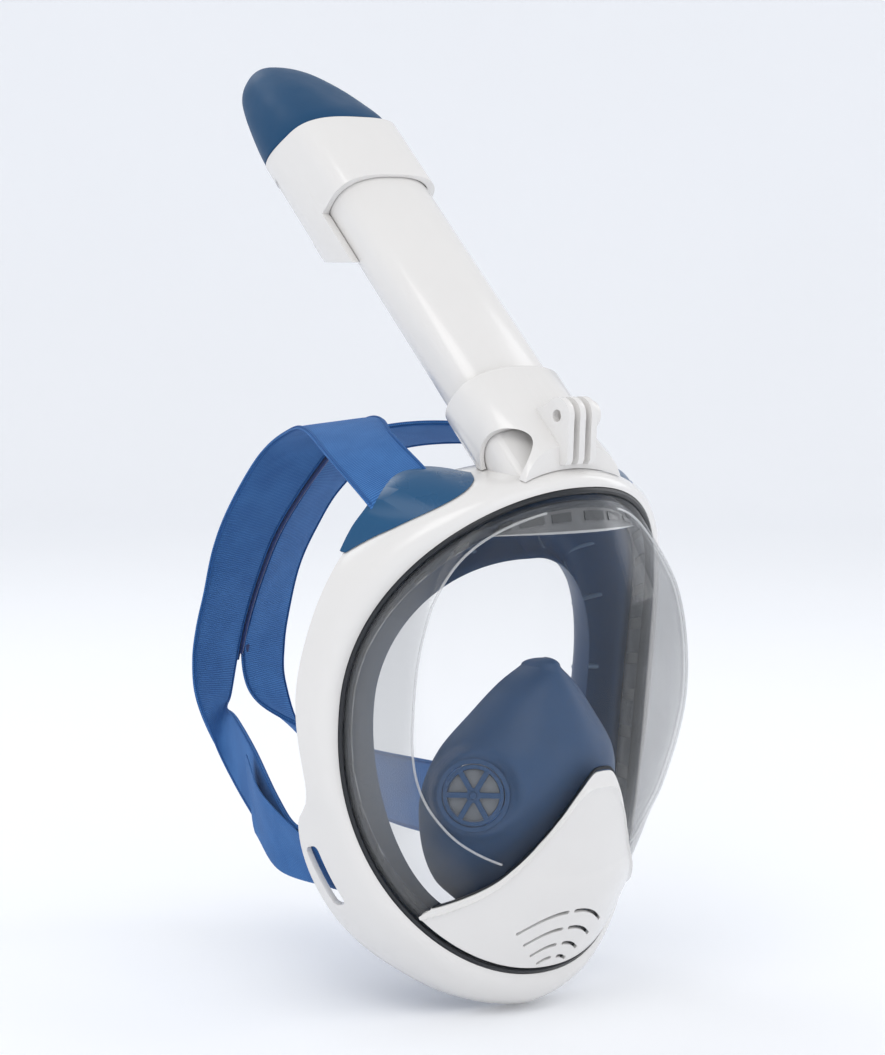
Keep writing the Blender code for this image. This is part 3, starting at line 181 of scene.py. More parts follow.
# ---- Dry top ----
TOP = (0.0275, 0.0172, 0.0320)  # half width, front and back of its section
TOP_SQUARENESS = 3.0
TOP_WALL = 0.0020
SHELL_BOTTOM = 0.1580  # lower edge of the housing round the tube
BOX_FRONT = 0.0065  # where the rear compartment steps out from the tube
BOX_BOTTOM_Z = 0.2000  # level underside of the rear compartment
JOINT_H = 0.2000  # cap joint at the axis, rising to the back
JOINT_RISE = 0.30
CAP_LEVELS = [(0.0000, 1.000, 0.0172, 0.0320), (0.0057, 0.990, 0.0160, 0.0316),
              (0.0137, 0.955, 0.0130, 0.0309), (0.0251, 0.880, 0.0086, 0.0299),
              (0.0355, 0.790, 0.0040, 0.0289), (0.0448, 0.680, -0.0006, 0.0274),
              (0.0518, 0.520, -0.0050, 0.0249), (0.0564, 0.320, -0.0090, 0.0212),
              (0.0584, 0.120, -0.0125, 0.0170)]
REAR_WINDOW = (0.0480, 0.0380)
REAR_WINDOW_H = 0.1780
OUTLET_RADIUS = 0.0035

# Each clip station: clock angle, front edge back, crease out and back, rear edge out and back
CLIP = [(51.0, 0.0245, 0.0128, 0.0262, 0.0134, 0.0272), (46.0, 0.0180, 0.0168, 0.0245, 0.0178, 0.0265),
        (42.0, 0.0135, 0.0190, 0.0238, 0.0202, 0.0262), (34.0, 0.0095, 0.0186, 0.0250, 0.0198, 0.0360),
        (27.0, 0.0110, 0.0166, 0.0300, 0.0182, 0.0430), (21.5, 0.0190, 0.0130, 0.0370, 0.0140, 0.0445),
        (17.5, 0.0310, 0.0100, 0.0400, 0.0103, 0.0425)]

# The lying strap's edges, given point by point. The band's two halves meet at a sewn seam in the middle.
BAND_RIGHT_OUTER = [(-0.0745, -0.0100, 0.1035), (-0.066, 0.022, 0.119), (-0.051, 0.060, 0.129),
                    (-0.039, 0.090, 0.126), (-0.037, 0.112, 0.115), (-0.037, 0.134, 0.092),
                    (-0.037, 0.147, 0.072), (-0.037, 0.155, 0.050), (-0.037, 0.161, 0.034),
                    (-0.037, 0.164, 0.019), (-0.038, 0.160, 0.003), (-0.043, 0.140, -0.014),
                    (-0.052, 0.108, -0.031), (-0.061, 0.078, -0.043), (-0.0670, 0.054, -0.0545),
                    (-0.0658, 0.036, -0.0565)]
BAND_RIGHT_INNER = [(-0.0500, -0.0050, 0.1180), (-0.037, 0.015, 0.128), (-0.020, 0.045, 0.1335),
                    (-0.006, 0.076, 0.1305), (-0.001, 0.104, 0.119), (-0.001, 0.131, 0.0955),
                    (-0.001, 0.150, 0.075), (-0.001, 0.164, 0.053), (-0.001, 0.173, 0.035),
                    (-0.001, 0.179, 0.018), (-0.006, 0.178, -0.001), (-0.020, 0.161, -0.004),
                    (-0.040, 0.126, -0.002), (-0.056, 0.090, -0.010), (-0.068, 0.058, -0.024),
                    (-0.0745, 0.0360, -0.0330)]
BAND_LEFT_OUTER = [(0.0745, -0.0100, 0.1035), (0.069, 0.020, 0.112), (0.060, 0.060, 0.119),
                   (0.048, 0.100, 0.118), (0.040, 0.128, 0.110), (0.037, 0.150, 0.095),
                   (0.037, 0.168, 0.076), (0.037, 0.181, 0.058), (0.037, 0.189, 0.038),
                   (0.037, 0.194, 0.018), (0.039, 0.196, -0.002), (0.046, 0.189, -0.030),
                   (0.058, 0.158, -0.060), (0.067, 0.118, -0.068), (0.0690, 0.076, -0.066),
                   (0.0655, 0.036, -0.0575)]
BAND_LEFT_INNER = [(0.0500, -0.0050, 0.1180), (0.042, 0.024, 0.126), (0.027, 0.058, 0.130),
                   (0.010, 0.084, 0.1275), (0.001, 0.104, 0.119), (0.001, 0.131, 0.0955),
                   (0.001, 0.150, 0.075), (0.001, 0.164, 0.053), (0.001, 0.173, 0.035),
                   (0.001, 0.179, 0.018), (0.008, 0.182, -0.002), (0.022, 0.176, -0.014),
                   (0.042, 0.148, -0.026), (0.060, 0.108, -0.031), (0.0710, 0.070, -0.033),
                   (0.0745, 0.0360, -0.0330)]
# Edges of the sewn-back end of each lower strap, from its fold forwards to the frame
TAIL_RIGHT = ([(-0.0640, 0.078, -0.0445), (-0.0700, 0.052, -0.0560)],
              [(-0.0600, 0.090, -0.0125), (-0.0735, 0.060, -0.0240)])
TAIL_LEFT = ([(0.0745, 0.080, -0.0660), (0.0712, 0.050, -0.0610)],
             [(0.0775, 0.082, -0.0340), (0.0785, 0.052, -0.0345)])

# ---- Fine detail that the frame leaves out ----
DUCT_WINDOWS = [(-0.0400, -0.0335), (-0.0300, -0.0195), (-0.0160, -0.0065), (0.0010, 0.0130),
                (0.0165, 0.0260), (0.0295, 0.0370)]
FILM = 0.0005  # wall of the duct panel's lip and windows
VENT_START = 0.0022  # from the chin's middle to the inner end of a vent slot
VENT_HALF = 0.0009
SKIRT_RIBS = (-152, -118, -88, -62, -40, -17, 17, 40, 62, 88, 118, 152)  # clock angles
SKIRT_RIB_RADIUS = 0.0012
BROW_RIB_RADIUS = 0.0011
CORD_RADIUS = 0.00045  # cord woven into each edge of the strap
STITCH_LENGTH = 0.0026
STITCH_GAP = 0.0010
STITCH_RADIUS = 0.00035
SEAM_HALF = 0.0016  # from the seam to each of its two rows of stitches
SEAM_CORD_RADIUS = 0.0009
TACK_HALF = 0.0055  # half the length of a bar tack, each way
TACK_RADIUS = 0.0004
REAR_VENTS = 5
REAR_VENT_PITCH = 0.0062
REAR_VENT_WIDTH = 0.0022
LENS_ROUND = 0.0035  # how far the rounding of the lens's bend reaches, each way
RIDGE_DROP = 0.0062  # from the chin cover's top edge down to its raised line
RIDGE_WIDTH = 0.0011
RIDGE_HEIGHT = 0.0010
POCKET_DOME = 0.0035  # rise of the nose pocket's closed top
# Edges of the strap's upper end, from inside its clip outwards
CLIP_END = ([(0.0715, -0.0150, 0.0995), (0.0728, -0.0085, 0.1055)],
            [(0.0425, -0.0170, 0.1125), (0.0432, -0.0105, 0.1178)])

# ---- Stage and camera ----
FLOOR_RINGS = (0.1, 0.6, 1.4, 2.4)  # radii of the floor's flat part
CURVE_UP = 0.5  # radius of the curve from the floor up into the wall
WALL_TOP = (2.95, 1.3)  # how far out and how high the wall ends
FLOOR_BELOW = 0.0008  # gap under the lowest point of the mask
CAMERA_TURN = 39.5
CAMERA_RISE = 5.0
CAMERA_DISTANCE = 1.20
CAMERA_AIM_Y = 0.029
CAMERA_AIM_Z = 0.087
CAMERA_LENS = 95.8


# ---- Placements ----
# A flat outline's X, Y and height become Y, Z and X
SIDEWAYS = Matrix(((0, 0, 1), (1, 0, 0), (0, 1, 0))).to_4x4()
TURN_TO_X = Matrix.Rotation(math.pi / 2, 4, "Y")


# ---- Numbers and outlines ----
def through(knots, x):
    """The value at x of a smooth curve through (x, value) knots, level beyond both ends."""
    if x <= knots[0][0]:
        return knots[0][1]
    if x >= knots[-1][0]:
        return knots[-1][1]
    i = next(k for k in range(len(knots) - 1) if x <= knots[k + 1][0])

    def slope(k):
        low, high = knots[max(k - 1, 0)], knots[min(k + 1, len(knots) - 1)]
        return (high[1] - low[1]) / (high[0] - low[0])

    width = knots[i + 1][0] - knots[i][0]
    t = (x - knots[i][0]) / width
    return (knots[i][1] * (1 + 2 * t) * (1 - t) ** 2 + knots[i + 1][1] * t * t * (3 - 2 * t)
            + slope(i) * width * t * (1 - t) ** 2 + slope(i + 1) * width * t * t * (t - 1))


def spread(low, high, count):
    return [low + (high - low) * k / (count - 1) for k in range(count)]


def turns(count):
    return [2 * math.pi * k / count for k in range(count)]


def radius_of(outline, angle):
    """Distance from the outline's centre to the outline, at a clock angle from the top towards +X."""
    half, rise, drop, power = outline
    height = rise if math.cos(angle) >= 0 else drop
    return (abs(math.sin(angle) / half) ** power + abs(math.cos(angle) / height) ** power) ** (-1 / power)


def height_of(outline, x):
    """Height above the centre of the outline's top half, at x."""
    half, rise, _, power = outline
    return rise * max(0.0, 1 - abs(x / half) ** power) ** (1 / power)


def circle(radius):
    return [(radius * math.cos(a), radius * math.sin(a)) for a in turns(ROUND_SIDES)]


def oval(half, front, back, power, count=OVAL_SIDES):
    """A closed superellipse whose front (-Y) and back (+Y) halves have their own depths."""
    points = []
    for angle in turns(count):
        side, deep = math.cos(angle), math.sin(angle)
        depth = back if deep > 0 else front
        x = half * math.copysign(abs(side) ** (2 / power), side)
        points.append((x, depth * math.copysign(abs(deep) ** (2 / power), deep)))
    return points


# ---- Mesh makers ----
def skin(loops, wrap=False):
    """A solid through closed loops of points: its ends are capped, or joined to each other when it wraps."""
    bm = bmesh.new()
    rows = [[bm.verts.new(point) for point in loop] for loop in loops]
    pairs = list(zip(rows, rows[1:]))
    if wrap:
        pairs.append((rows[-1], rows[0]))
    for low, high in pairs:
        for i in range(len(low)):
            j = (i + 1) % len(low)
            bm.faces.new((low[i], low[j], high[j], high[i]))
    if not wrap:
        bm.faces.new(rows[0])
        bm.faces.new(rows[-1])
    bmesh.ops.recalc_face_normals(bm, faces=bm.faces)
    return bm


def surface(rows, closed=False, towards=Vector((0, -1, 0))):
    """An open surface through rows of points, facing mostly the given way. A row may be a single point."""
    bm = bmesh.new()
    grid = [[bm.verts.new(point) for point in row] for row in rows]
    for low, high in zip(grid, grid[1:]):
        count = max(len(low), len(high))
        for i in range(count if closed else count - 1):
            j = (i + 1) % count
            if len(low) == 1:
                bm.faces.new((low[0], high[i], high[j]))
            else:
                bm.faces.new((low[i], high[i], high[j], low[j]))
    bm.normal_update()
    facing = sum((face.normal * face.calc_area() for face in bm.faces), Vector())
    if facing.dot(towards) < 0:
        bmesh.ops.reverse_faces(bm, faces=bm.faces)
    return bm


def prism(outlines, low, high):
    """A solid between two heights with a flat outline; outlines after the first are holes."""
    bm = bmesh.new()
    edges = []
    for outline in outlines:
        ring = [bm.verts.new((x, y, low)) for x, y in outline]
        edges += [bm.edges.new(pair) for pair in zip(ring, ring[1:] + ring[:1])]
    bmesh.ops.triangle_fill(bm, edges=edges, use_beauty=True)
    grown = bmesh.ops.extrude_face_region(bm, geom=bm.faces[:])
    risen = [item for item in grown["geom"] if isinstance(item, bmesh.types.BMVert)]
    bmesh.ops.translate(bm, vec=(0, 0, high - low), verts=risen)
    bmesh.ops.recalc_face_normals(bm, faces=bm.faces)
    return bm


def cylinder(radius, low, high, sides=ROUND_SIDES):
    bm = bmesh.new()
    rise = Matrix.Translation((0, 0, (low + high) / 2))
    bmesh.ops.create_cone(bm, cap_ends=True, segments=sides, radius1=radius, radius2=radius,
                          depth=high - low, matrix=rise)
    return bm


def block(size, centre=(0, 0, 0)):
    bm = bmesh.new()
    bmesh.ops.create_cube(bm, size=1.0, matrix=Matrix.Translation(centre) @ Matrix.Diagonal((*size, 1)))
    return bm


def facing(centre, axis):
    """A placement whose Z runs along the axis."""
    return Matrix.Translation(centre) @ axis.to_track_quat("Z", "Y").to_matrix().to_4x4()


# ---- Blender helpers ----
TOOLS = []


def place(name, bm, matrix=None):
    """An object made from a bmesh, with its placement written into its points."""
    mesh = bpy.data.meshes.new(name)
    bm.to_mesh(mesh)
    bm.free()
    if matrix:
        mesh.transform(matrix)
    obj = bpy.data.objects.new(name, mesh)
    bpy.context.scene.collection.objects.link(obj)
    return obj


def boolean(target, tool, operation="DIFFERENCE"):
    modifier = target.modifiers.new(tool.name, "BOOLEAN")
    modifier.operation = operation
    modifier.object = tool
    tool.hide_render = True
    TOOLS.append(tool)
    return target


def thicken(obj, wall):
    """Gives an open surface its wall, on the side it faces away from."""
    modifier = obj.modifiers.new("wall", "SOLIDIFY")
    modifier.thickness = wall
    modifier.offset = -1
    return obj


def soften(obj, width, segments=3, angle=40):
    modifier = obj.modifiers.new("edges", "BEVEL")
    modifier.width = width
    modifier.segments = segments
    modifier.limit_method = "ANGLE"
    modifier.angle_limit = math.radians(angle)
    return obj


def settle(obj):
    """Applies the modifiers and removes the tools that they used."""
    graph = bpy.context.evaluated_depsgraph_get()
    mesh = bpy.data.meshes.new_from_object(obj.evaluated_get(graph))
    obj.modifiers.clear()
    obj.data = mesh
    for tool in TOOLS:
        bpy.data.objects.remove(tool)
    TOOLS.clear()
    return obj


def finish(obj, look, body="mask", nodes=(), sharp=38):
    """Settles a piece, gives it its material, hangs it on the body that it rides on, and hides the CAD nodes
    that it stands for.
    """
    settle(obj)
    obj.data.materials.clear()
    obj.data.materials.append(material_of(look))
    obj.data.shade_smooth()
    obj.data.set_sharp_from_angle(angle=math.radians(sharp))
    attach(obj, body)
    if nodes:
        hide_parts(*nodes)
    return obj


# ---- Materials ----
class Graph:
    """A material's node tree, with short ways to add and join nodes."""

    def __init__(self, name):
        self.material = bpy.data.materials.new(name)
        self.material.use_nodes = True
        self.tree = self.material.node_tree
        self.shader = self.tree.nodes["Principled BSDF"]

    def node(self, kind, links=None, **values):
        made = self.tree.nodes.new("ShaderNode" + kind)
        for key, value in values.items():
            if hasattr(made, key):
                setattr(made, key, value)
            else:
                made.inputs[key.replace("_", " ")].default_value = value
        for key, output in (links or {}).items():
            self.tree.links.new(output, made.inputs[key])
        return made

    def noise(self, scale, detail=3.0, source=None, **values):
        return self.node("TexNoise", {"Vector": source or self.coordinates()}, Scale=scale, Detail=detail,
                         **values).outputs["Fac"]

    def coordinates(self):
        if "place" not in self.tree.nodes:
            self.node("TexCoord").name = "place"
        return self.tree.nodes["place"].outputs["Object"]

    def blend(self, fac, low, high):
        made = self.node("Mix", data_type="RGBA")
        made.inputs[6].default_value = (*low, 1)
        made.inputs[7].default_value = (*high, 1)
        self.tree.links.new(fac, made.inputs[0])
        return made.outputs[2]

    def ranged(self, fac, low, high, start=0.0, end=1.0):
        made = self.node("MapRange", {"Value": fac})
        for key, value in (("From Min", start), ("From Max", end), ("To Min", low), ("To Max", high)):
            made.inputs[key].default_value = value
        return made.outputs["Result"]

    def maths(self, operation, first, second):
        made = self.node("Math", operation=operation)
        for socket, value in zip(made.inputs, (first, second)):
            if isinstance(value, (int, float)):
                socket.default_value = value
            else:
                self.tree.links.new(value, socket)
        return made.outputs[0]

    def feed(self, socket, output):
        self.tree.links.new(output, self.shader.inputs[socket])

    def set(self, **values):
        for key, value in values.items():
            self.shader.inputs[key.replace("_", " ")].default_value = value

    def bump(self, height, strength, distance):
        made = self.node("Bump", {"Height": height}, Strength=strength, Distance=distance)
        self.feed("Normal", made.outputs[0])


def shade(colour, factor):
    return tuple(min(c * factor, 1.0) for c in colour)


def moulded(name, colour, roughness, grain=1500.0, relief=0.06, variation=0.05, alpha=None,
            spread_of_gloss=0.05, **sockets):
    """Moulded plastic or silicone: slow drifts of tone and gloss, and a fine moulded grain."""
    graph = Graph(name)
    drift = graph.noise(28.0, 4.0)
    graph.feed("Base Color", graph.blend(drift, shade(colour, 1 - variation), shade(colour, 1 + variation)))
    graph.feed("Roughness", graph.ranged(graph.noise(75.0, 2.0), roughness - spread_of_gloss,
                                           roughness + spread_of_gloss, 0.3, 0.7))
    graph.bump(graph.noise(grain, 2.0), relief, 0.0002)
    graph.set(**sockets)
    if alpha is not None:
        facing_away = graph.node("LayerWeight", Blend=0.42).outputs["Facing"]
        graph.feed("Alpha", graph.ranged(graph.maths("POWER", facing_away, alpha[2]), alpha[0], alpha[1]))
    return graph.material


def clear_plastic(name, colour):
    """Clear moulding: all but unseen face on, and greyer where it turns away; its steep side walls carry
    painted reflection, made greyer by their direction alone.
    """
    graph = Graph(name)
    facing_away = graph.node("LayerWeight", Blend=0.42).outputs["Facing"]
    # Painted reflection: the steep side walls, found from the normal's X alone, get extra alpha and so read
    # greyer.
    across = graph.node("SeparateXYZ", {"Vector": graph.node("NewGeometry").outputs["Normal"]}).outputs["X"]
    wall = graph.ranged(graph.maths("ABSOLUTE", across, 0.0), 0.0, 0.24, 0.55, 0.95)
    turned = graph.ranged(graph.maths("POWER", facing_away, 2.6), 0.05, 0.60)
    graph.feed("Alpha", graph.maths("ADD", turned, wall))
    graph.feed("Base Color", graph.blend(graph.noise(28.0, 3.0), shade(colour, 0.95), shade(colour, 1.05)))
    graph.feed("Roughness", graph.ranged(graph.noise(60.0, 2.0), 0.035, 0.06))
    graph.bump(graph.noise(400.0, 2.0), 0.003, 0.0002)
    graph.set(Coat_Weight=1.0, Coat_Roughness=0.02, Specular_IOR_Level=0.6)
    return graph.material


def woven(name, deep, bright):
    """Woven elastic: ribs across the strap, fine columns along it, loose fibre tone. UVs are in metres."""
    graph = Graph(name)
    place_on = graph.node("UVMap", uv_map="weave").outputs[0]
    rows = graph.node("TexWave", {"Vector": place_on}, wave_type="BANDS", bands_direction="Y", Scale=300.0,
                      Distortion=1.2, Detail=2.0).outputs["Fac"]
    columns = graph.node("TexWave", {"Vector": place_on}, wave_type="BANDS", bands_direction="X", Scale=340.0,
                         Distortion=1.6, Detail=2.0).outputs["Fac"]
    fibres = graph.noise(2600.0, 3.0, place_on)
    cloth = graph.maths("MULTIPLY", rows, graph.ranged(columns, 0.55, 1.0))
    tone = graph.maths("ADD", graph.maths("MULTIPLY", cloth, 0.62), graph.maths("MULTIPLY", fibres, 0.38))
    cloudy = graph.maths("ADD", tone, graph.ranged(graph.noise(55.0, 3.0, place_on), -0.10, 0.10, 0.3, 0.7))
    graph.feed("Base Color", graph.blend(cloudy, deep, bright))
    graph.feed("Roughness", graph.ranged(fibres, 0.72, 0.92))
    graph.bump(tone, 0.55, 0.00035)
    graph.set(Sheen_Weight=0.06, Sheen_Roughness=0.5, Specular_IOR_Level=0.12)
    return graph.material


# Each look: its slot, the maker of its material, and what the maker is given
LOOKS = {
    "white": ("white_abs", moulded, "white_gloss", (0.745, 0.730, 0.712),
              dict(roughness=0.24, relief=0.008, spread_of_gloss=0.012, variation=0.015, Coat_Weight=0.35,
                   Coat_Roughness=0.12)),
    "blue_satin": ("blue_plastic", moulded, "cap_blue", (0.008, 0.058, 0.140),
                   dict(roughness=0.48, relief=0.03, Specular_IOR_Level=0.18)),
    "blue_gloss": ("blue_plastic", moulded, "clip_blue", (0.012, 0.078, 0.180),
                   dict(roughness=0.28, relief=0.006, spread_of_gloss=0.012, Specular_IOR_Level=0.30)),
    "silicone": ("blue_silicone", moulded, "navy_silicone", (0.014, 0.060, 0.155),
                 dict(roughness=0.46, grain=1800.0, relief=0.012, variation=0.08, Specular_IOR_Level=0.35)),
    "silicone_rib": ("blue_silicone", moulded, "rib_silicone", (0.130, 0.210, 0.330),
                     dict(roughness=0.38, grain=2200.0, relief=0.08, variation=0.10)),
    "valve_grey": ("grey_silicone", moulded, "valve_grey", (0.165, 0.180, 0.200),
                   dict(roughness=0.5, grain=2600.0, relief=0.10)),
    "black": ("black_rubber", moulded, "seal_black", (0.008, 0.010, 0.014),
              dict(roughness=0.36, relief=0.08, variation=0.15)),
    "smoke": ("smoke_plastic", moulded, "smoke_clear", (0.035, 0.045, 0.060),
              dict(roughness=0.12, relief=0.02, variation=0.10, alpha=(0.62, 0.95, 1.0), Coat_Weight=0.6)),
    "duct_grey": ("smoke_plastic", moulded, "duct_grey", (0.17, 0.175, 0.18),
                  dict(roughness=0.18, relief=0.02, alpha=(0.72, 0.95, 1.0))),
    "duct_window": ("smoke_plastic", moulded, "duct_window", (0.055, 0.058, 0.062),
                    dict(roughness=0.16, relief=0.02)),
    "lens_clear": ("clear_polycarbonate", clear_plastic, "lens_clear", (0.26, 0.265, 0.27), {}),
    # Near-white clear plastic: along the lens's bend it is a painted highlight; it also makes the duct
    # panel's lip.
    "clear_edge": ("clear_polycarbonate", moulded, "clear_edge", (0.80, 0.81, 0.82),
                   dict(roughness=0.08, relief=0.01, variation=0.03, alpha=(0.30, 0.9, 1.0),
                        Coat_Weight=0.8)),
    "thread": ("blue_webbing", moulded, "thread_blue", (0.008, 0.028, 0.13),
               dict(roughness=0.7, grain=3000.0, relief=0.3, variation=0.25, Sheen_Weight=0.3)),
    "webbing": ("blue_webbing", woven, "woven_elastic", (0.014, 0.068, 0.225),
                dict(bright=(0.080, 0.240, 0.560))),
    "steel": ("steel", moulded, "stainless", (0.58, 0.58, 0.60),
              dict(roughness=0.26, relief=0.05, variation=0.04, Metallic=1.0)),
}
MADE = {}


def material_of(look):
    """The look's material, made the first time and shared after that."""
    if look not in MADE:
        _, make, name, colour, settings = LOOKS[look]
        MADE[look] = make(name, colour, **settings)
    return MADE[look]


# ---- The shared shape, as the frame has it ----
def rim_depth(x, z):
    """Where the frame's front lip lies, front to back."""
    down = (EYE_Z + LIP[1] - z) / (LIP[1] + LIP[2])
    return LIP_TOP_Y + (LIP_BOTTOM_Y - LIP_TOP_Y) * down + LIP_WRAP * (x / LIP[0]) ** 2


def rim_point(angle, out, back):
    """A point that far outside the lip's outline and behind the lip, at a clock angle."""
    lip = radius_of(LIP, angle)
    depth = rim_depth(lip * math.sin(angle), EYE_Z + lip * math.cos(angle))
    reach = lip + out
    return Vector((reach * math.sin(angle), depth + back, EYE_Z + reach * math.cos(angle)))


def frame_values(angle):
    turn = abs(math.degrees(math.remainder(angle, 2 * math.pi)))
    return [through(knots, turn) for knots in (FRAME_REACH, FRAME_DEPTH, FRAME_SQUARENESS)]


def frame_out(angle, back):
    """How far the frame's outer face stands outside the lip, that far behind it."""
    reach, depth, power = frame_values(angle)
    share = min(max(back / depth, 0.0), 1.0)
    return reach * (1 - (1 - share) ** power) ** (1 / power)


LENS_INSET = GASKET_WIDTH + 2 * GAP
FRAME_TOP_Z = EYE_Z + LIP[1] + FRAME_REACH[0][1]


def lens_front(x, z):
    middle = through(LENS_MIDLINE, z)
    half_width = through(LENS_HALF_WIDTH, z) * LIP[0] / DRAWN_HALF_WIDTH
    return middle + (BEND_Y - middle) * (x / half_width) ** 2


def lens_limits(angle):
    """How far the lens's bend and its rim lie from the centre, at a clock angle."""
    edge = radius_of(LIP, angle) - LENS_INSET
    return min(radius_of(BEND, angle), edge - BEND_MARGIN), edge


def lens_depth(angle, radius):
    """Front to back place of the lens's outer face, at a distance from the centre."""
    bend, edge = lens_limits(angle)
    inner = min(radius, bend)
    front = lens_front(inner * math.sin(angle), EYE_Z + inner * math.cos(angle))
    if radius <= bend:
        return front
    share = min((radius - bend) / (edge - bend), 1.0)
    return front + (rim_point(angle, 0, 0).y - front) * share ** 1.25


def lens_at(x, z, lift=0.0):
    """A point on the lens's outer face, or lifted off it along the face's own normal."""
    def depth(px, pz):
        return lens_depth(math.atan2(px, pz - EYE_Z), math.hypot(px, pz - EYE_Z))

    point = Vector((x, depth(x, z), z))
    if lift == 0:
        return point
    step = 0.0006
    slope_x = (depth(x + step, z) - depth(x - step, z)) / (2 * step)
    slope_z = (depth(x, z + step) - depth(x, z - step)) / (2 * step)
    return point + Vector((slope_x, -1, slope_z)).normalized() * lift


def lens_point(angle, radius, lift=0.0):
    return lens_at(radius * math.sin(angle), EYE_Z + radius * math.cos(angle), lift)


def frame_arc(angle, inset):
    """The frame's curved face from its lip back to its rear edge, moved inwards by an inset."""
    reach, depth, power = frame_values(angle)
    arc = []
    for bend in spread(0, math.pi / 2, 18):
        out = (reach - inset) * math.sin(bend) ** (2 / power)
        back = inset + (depth - inset) * (1 - max(math.cos(bend), 0.0) ** (2 / power))
        arc.append(rim_point(angle, out, back))
    return arc


def frame_section(angle):
    """Closed section of the frame's wall: out along its outer face, and back along its inner face."""
    return frame_arc(angle, 0.0) + frame_arc(angle, WALL)[::-1]


def tube_matrix():
    return Matrix.Translation(TUBE_FOOT) @ Matrix.Rotation(-math.radians(TUBE_LEAN), 4, "X")


def sleeve(outer, inner):
    """A tube wall from its outer and inner loops, each listed from the bottom up."""
    return skin(outer + inner[::-1], wrap=True)


def tube_loop(half, front, back, height):
    return [Vector((x, y, height)) for x, y in oval(half, front, back, SQUARENESS)]


def straight(name, sizes, low, high):
    """A cutter in the tube's frame: an oval bar between two heights."""
    return place(name, skin([tube_loop(*sizes, low), tube_loop(*sizes, high)]), tube_matrix())


def grown(sizes, by):
    return [size + by for size in sizes]


def frame_envelope(lift):
    """The space that the top of the frame fills, grown outwards by a gap, for trimming what stands on it."""
    loops = []
    for turn in spread(-52.5, 52.5, 57):
        angle = math.radians(turn)
        reach, depth, _ = frame_values(angle)
        behind = [(reach + lift, depth + 0.020), (-0.030, depth + 0.020), (-0.030, -lift)]
        loops.append(frame_arc(angle, -lift) + [rim_point(angle, out, back) for out, back in behind])
    return skin(loops)


def strap_slot_matrix(side):
    """The lower strap slot's place: X along the slot, Y across it, Z out through the frame's wall."""
    angle = math.radians(SLOT_ANGLE) * side
    centre = rim_point(angle, frame_out(angle, SLOT_BACK), SLOT_BACK)
    along = (rim_point(angle + 0.05 * side, frame_out(angle, SLOT_BACK), SLOT_BACK) - centre).normalized()
    out = Vector((math.sin(angle), 0, math.cos(angle)))
    out = (out - along * out.dot(along)).normalized()
    return Matrix.Translation(centre) @ Matrix((along, out.cross(along), out)).transposed().to_4x4()


def purge_matrix():
    """The purge valve's place: Z points out of the chin, forwards and down."""
    lean = math.radians(PURGE_LEAN)
    return facing(lens_at(0, PURGE_Z), Vector((0, -math.cos(lean), -math.sin(lean))))


def spoked_outlines(radius, rim, hub, spoke, count):
    """The outline of a wheel and the windows between its spokes."""
    outlines = [circle(radius)]
    inner, outer = hub, radius - rim
    for k in range(count):
        first, last = 2 * math.pi * k / count, 2 * math.pi * (k + 1) / count
        window = []
        for reach, order, sides in ((inner, 1, 4), (outer, -1, 10)):
            trim = math.asin(spoke / 2 / reach)
            arc = spread(first + trim, last - trim, sides)[::order]
            window += [(reach * math.cos(a), reach * math.sin(a)) for a in arc]
        outlines.append(window)
    return outlines


def inhale_matrix(side):
    centre = Vector((INHALE_CENTRE.x * side, INHALE_CENTRE.y, INHALE_CENTRE.z))
    return facing(centre, Vector((INHALE_AXIS.x * side, INHALE_AXIS.y, INHALE_AXIS.z)))


def flatten_for_valve(point):
    """Eases the pocket's wall onto the plane of the nearer inhale valve, close to that valve."""
    side = 1 if point.x >= 0 else -1
    local = inhale_matrix(side).inverted() @ point
    lateral = math.hypot(local.x, local.y)
    near, far = INHALE_RADIUS + 0.0025, INHALE_RADIUS + 0.0080
    share = min(max((far - lateral) / (far - near), 0.0), 1.0)
    local.z *= 1 - share * share * (3 - 2 * share)
    return inhale_matrix(side) @ local


def pocket_rows(levels, across):
    knots = [[(row[0], row[k]) for row in POCKET] for k in (1, 2, 3)]
    rows = []
    for z in spread(POCKET[0][0], POCKET[-1][0], levels):
        half, ridge, rim = [through(values, z) for values in knots]
        row = []
        for turn in spread(-math.pi / 2, math.pi / 2, across):
            point = Vector((half * math.sin(turn), rim + (ridge - rim) * math.cos(turn), z))
            row.append(flatten_for_valve(point))
        rows.append(row)
    return rows


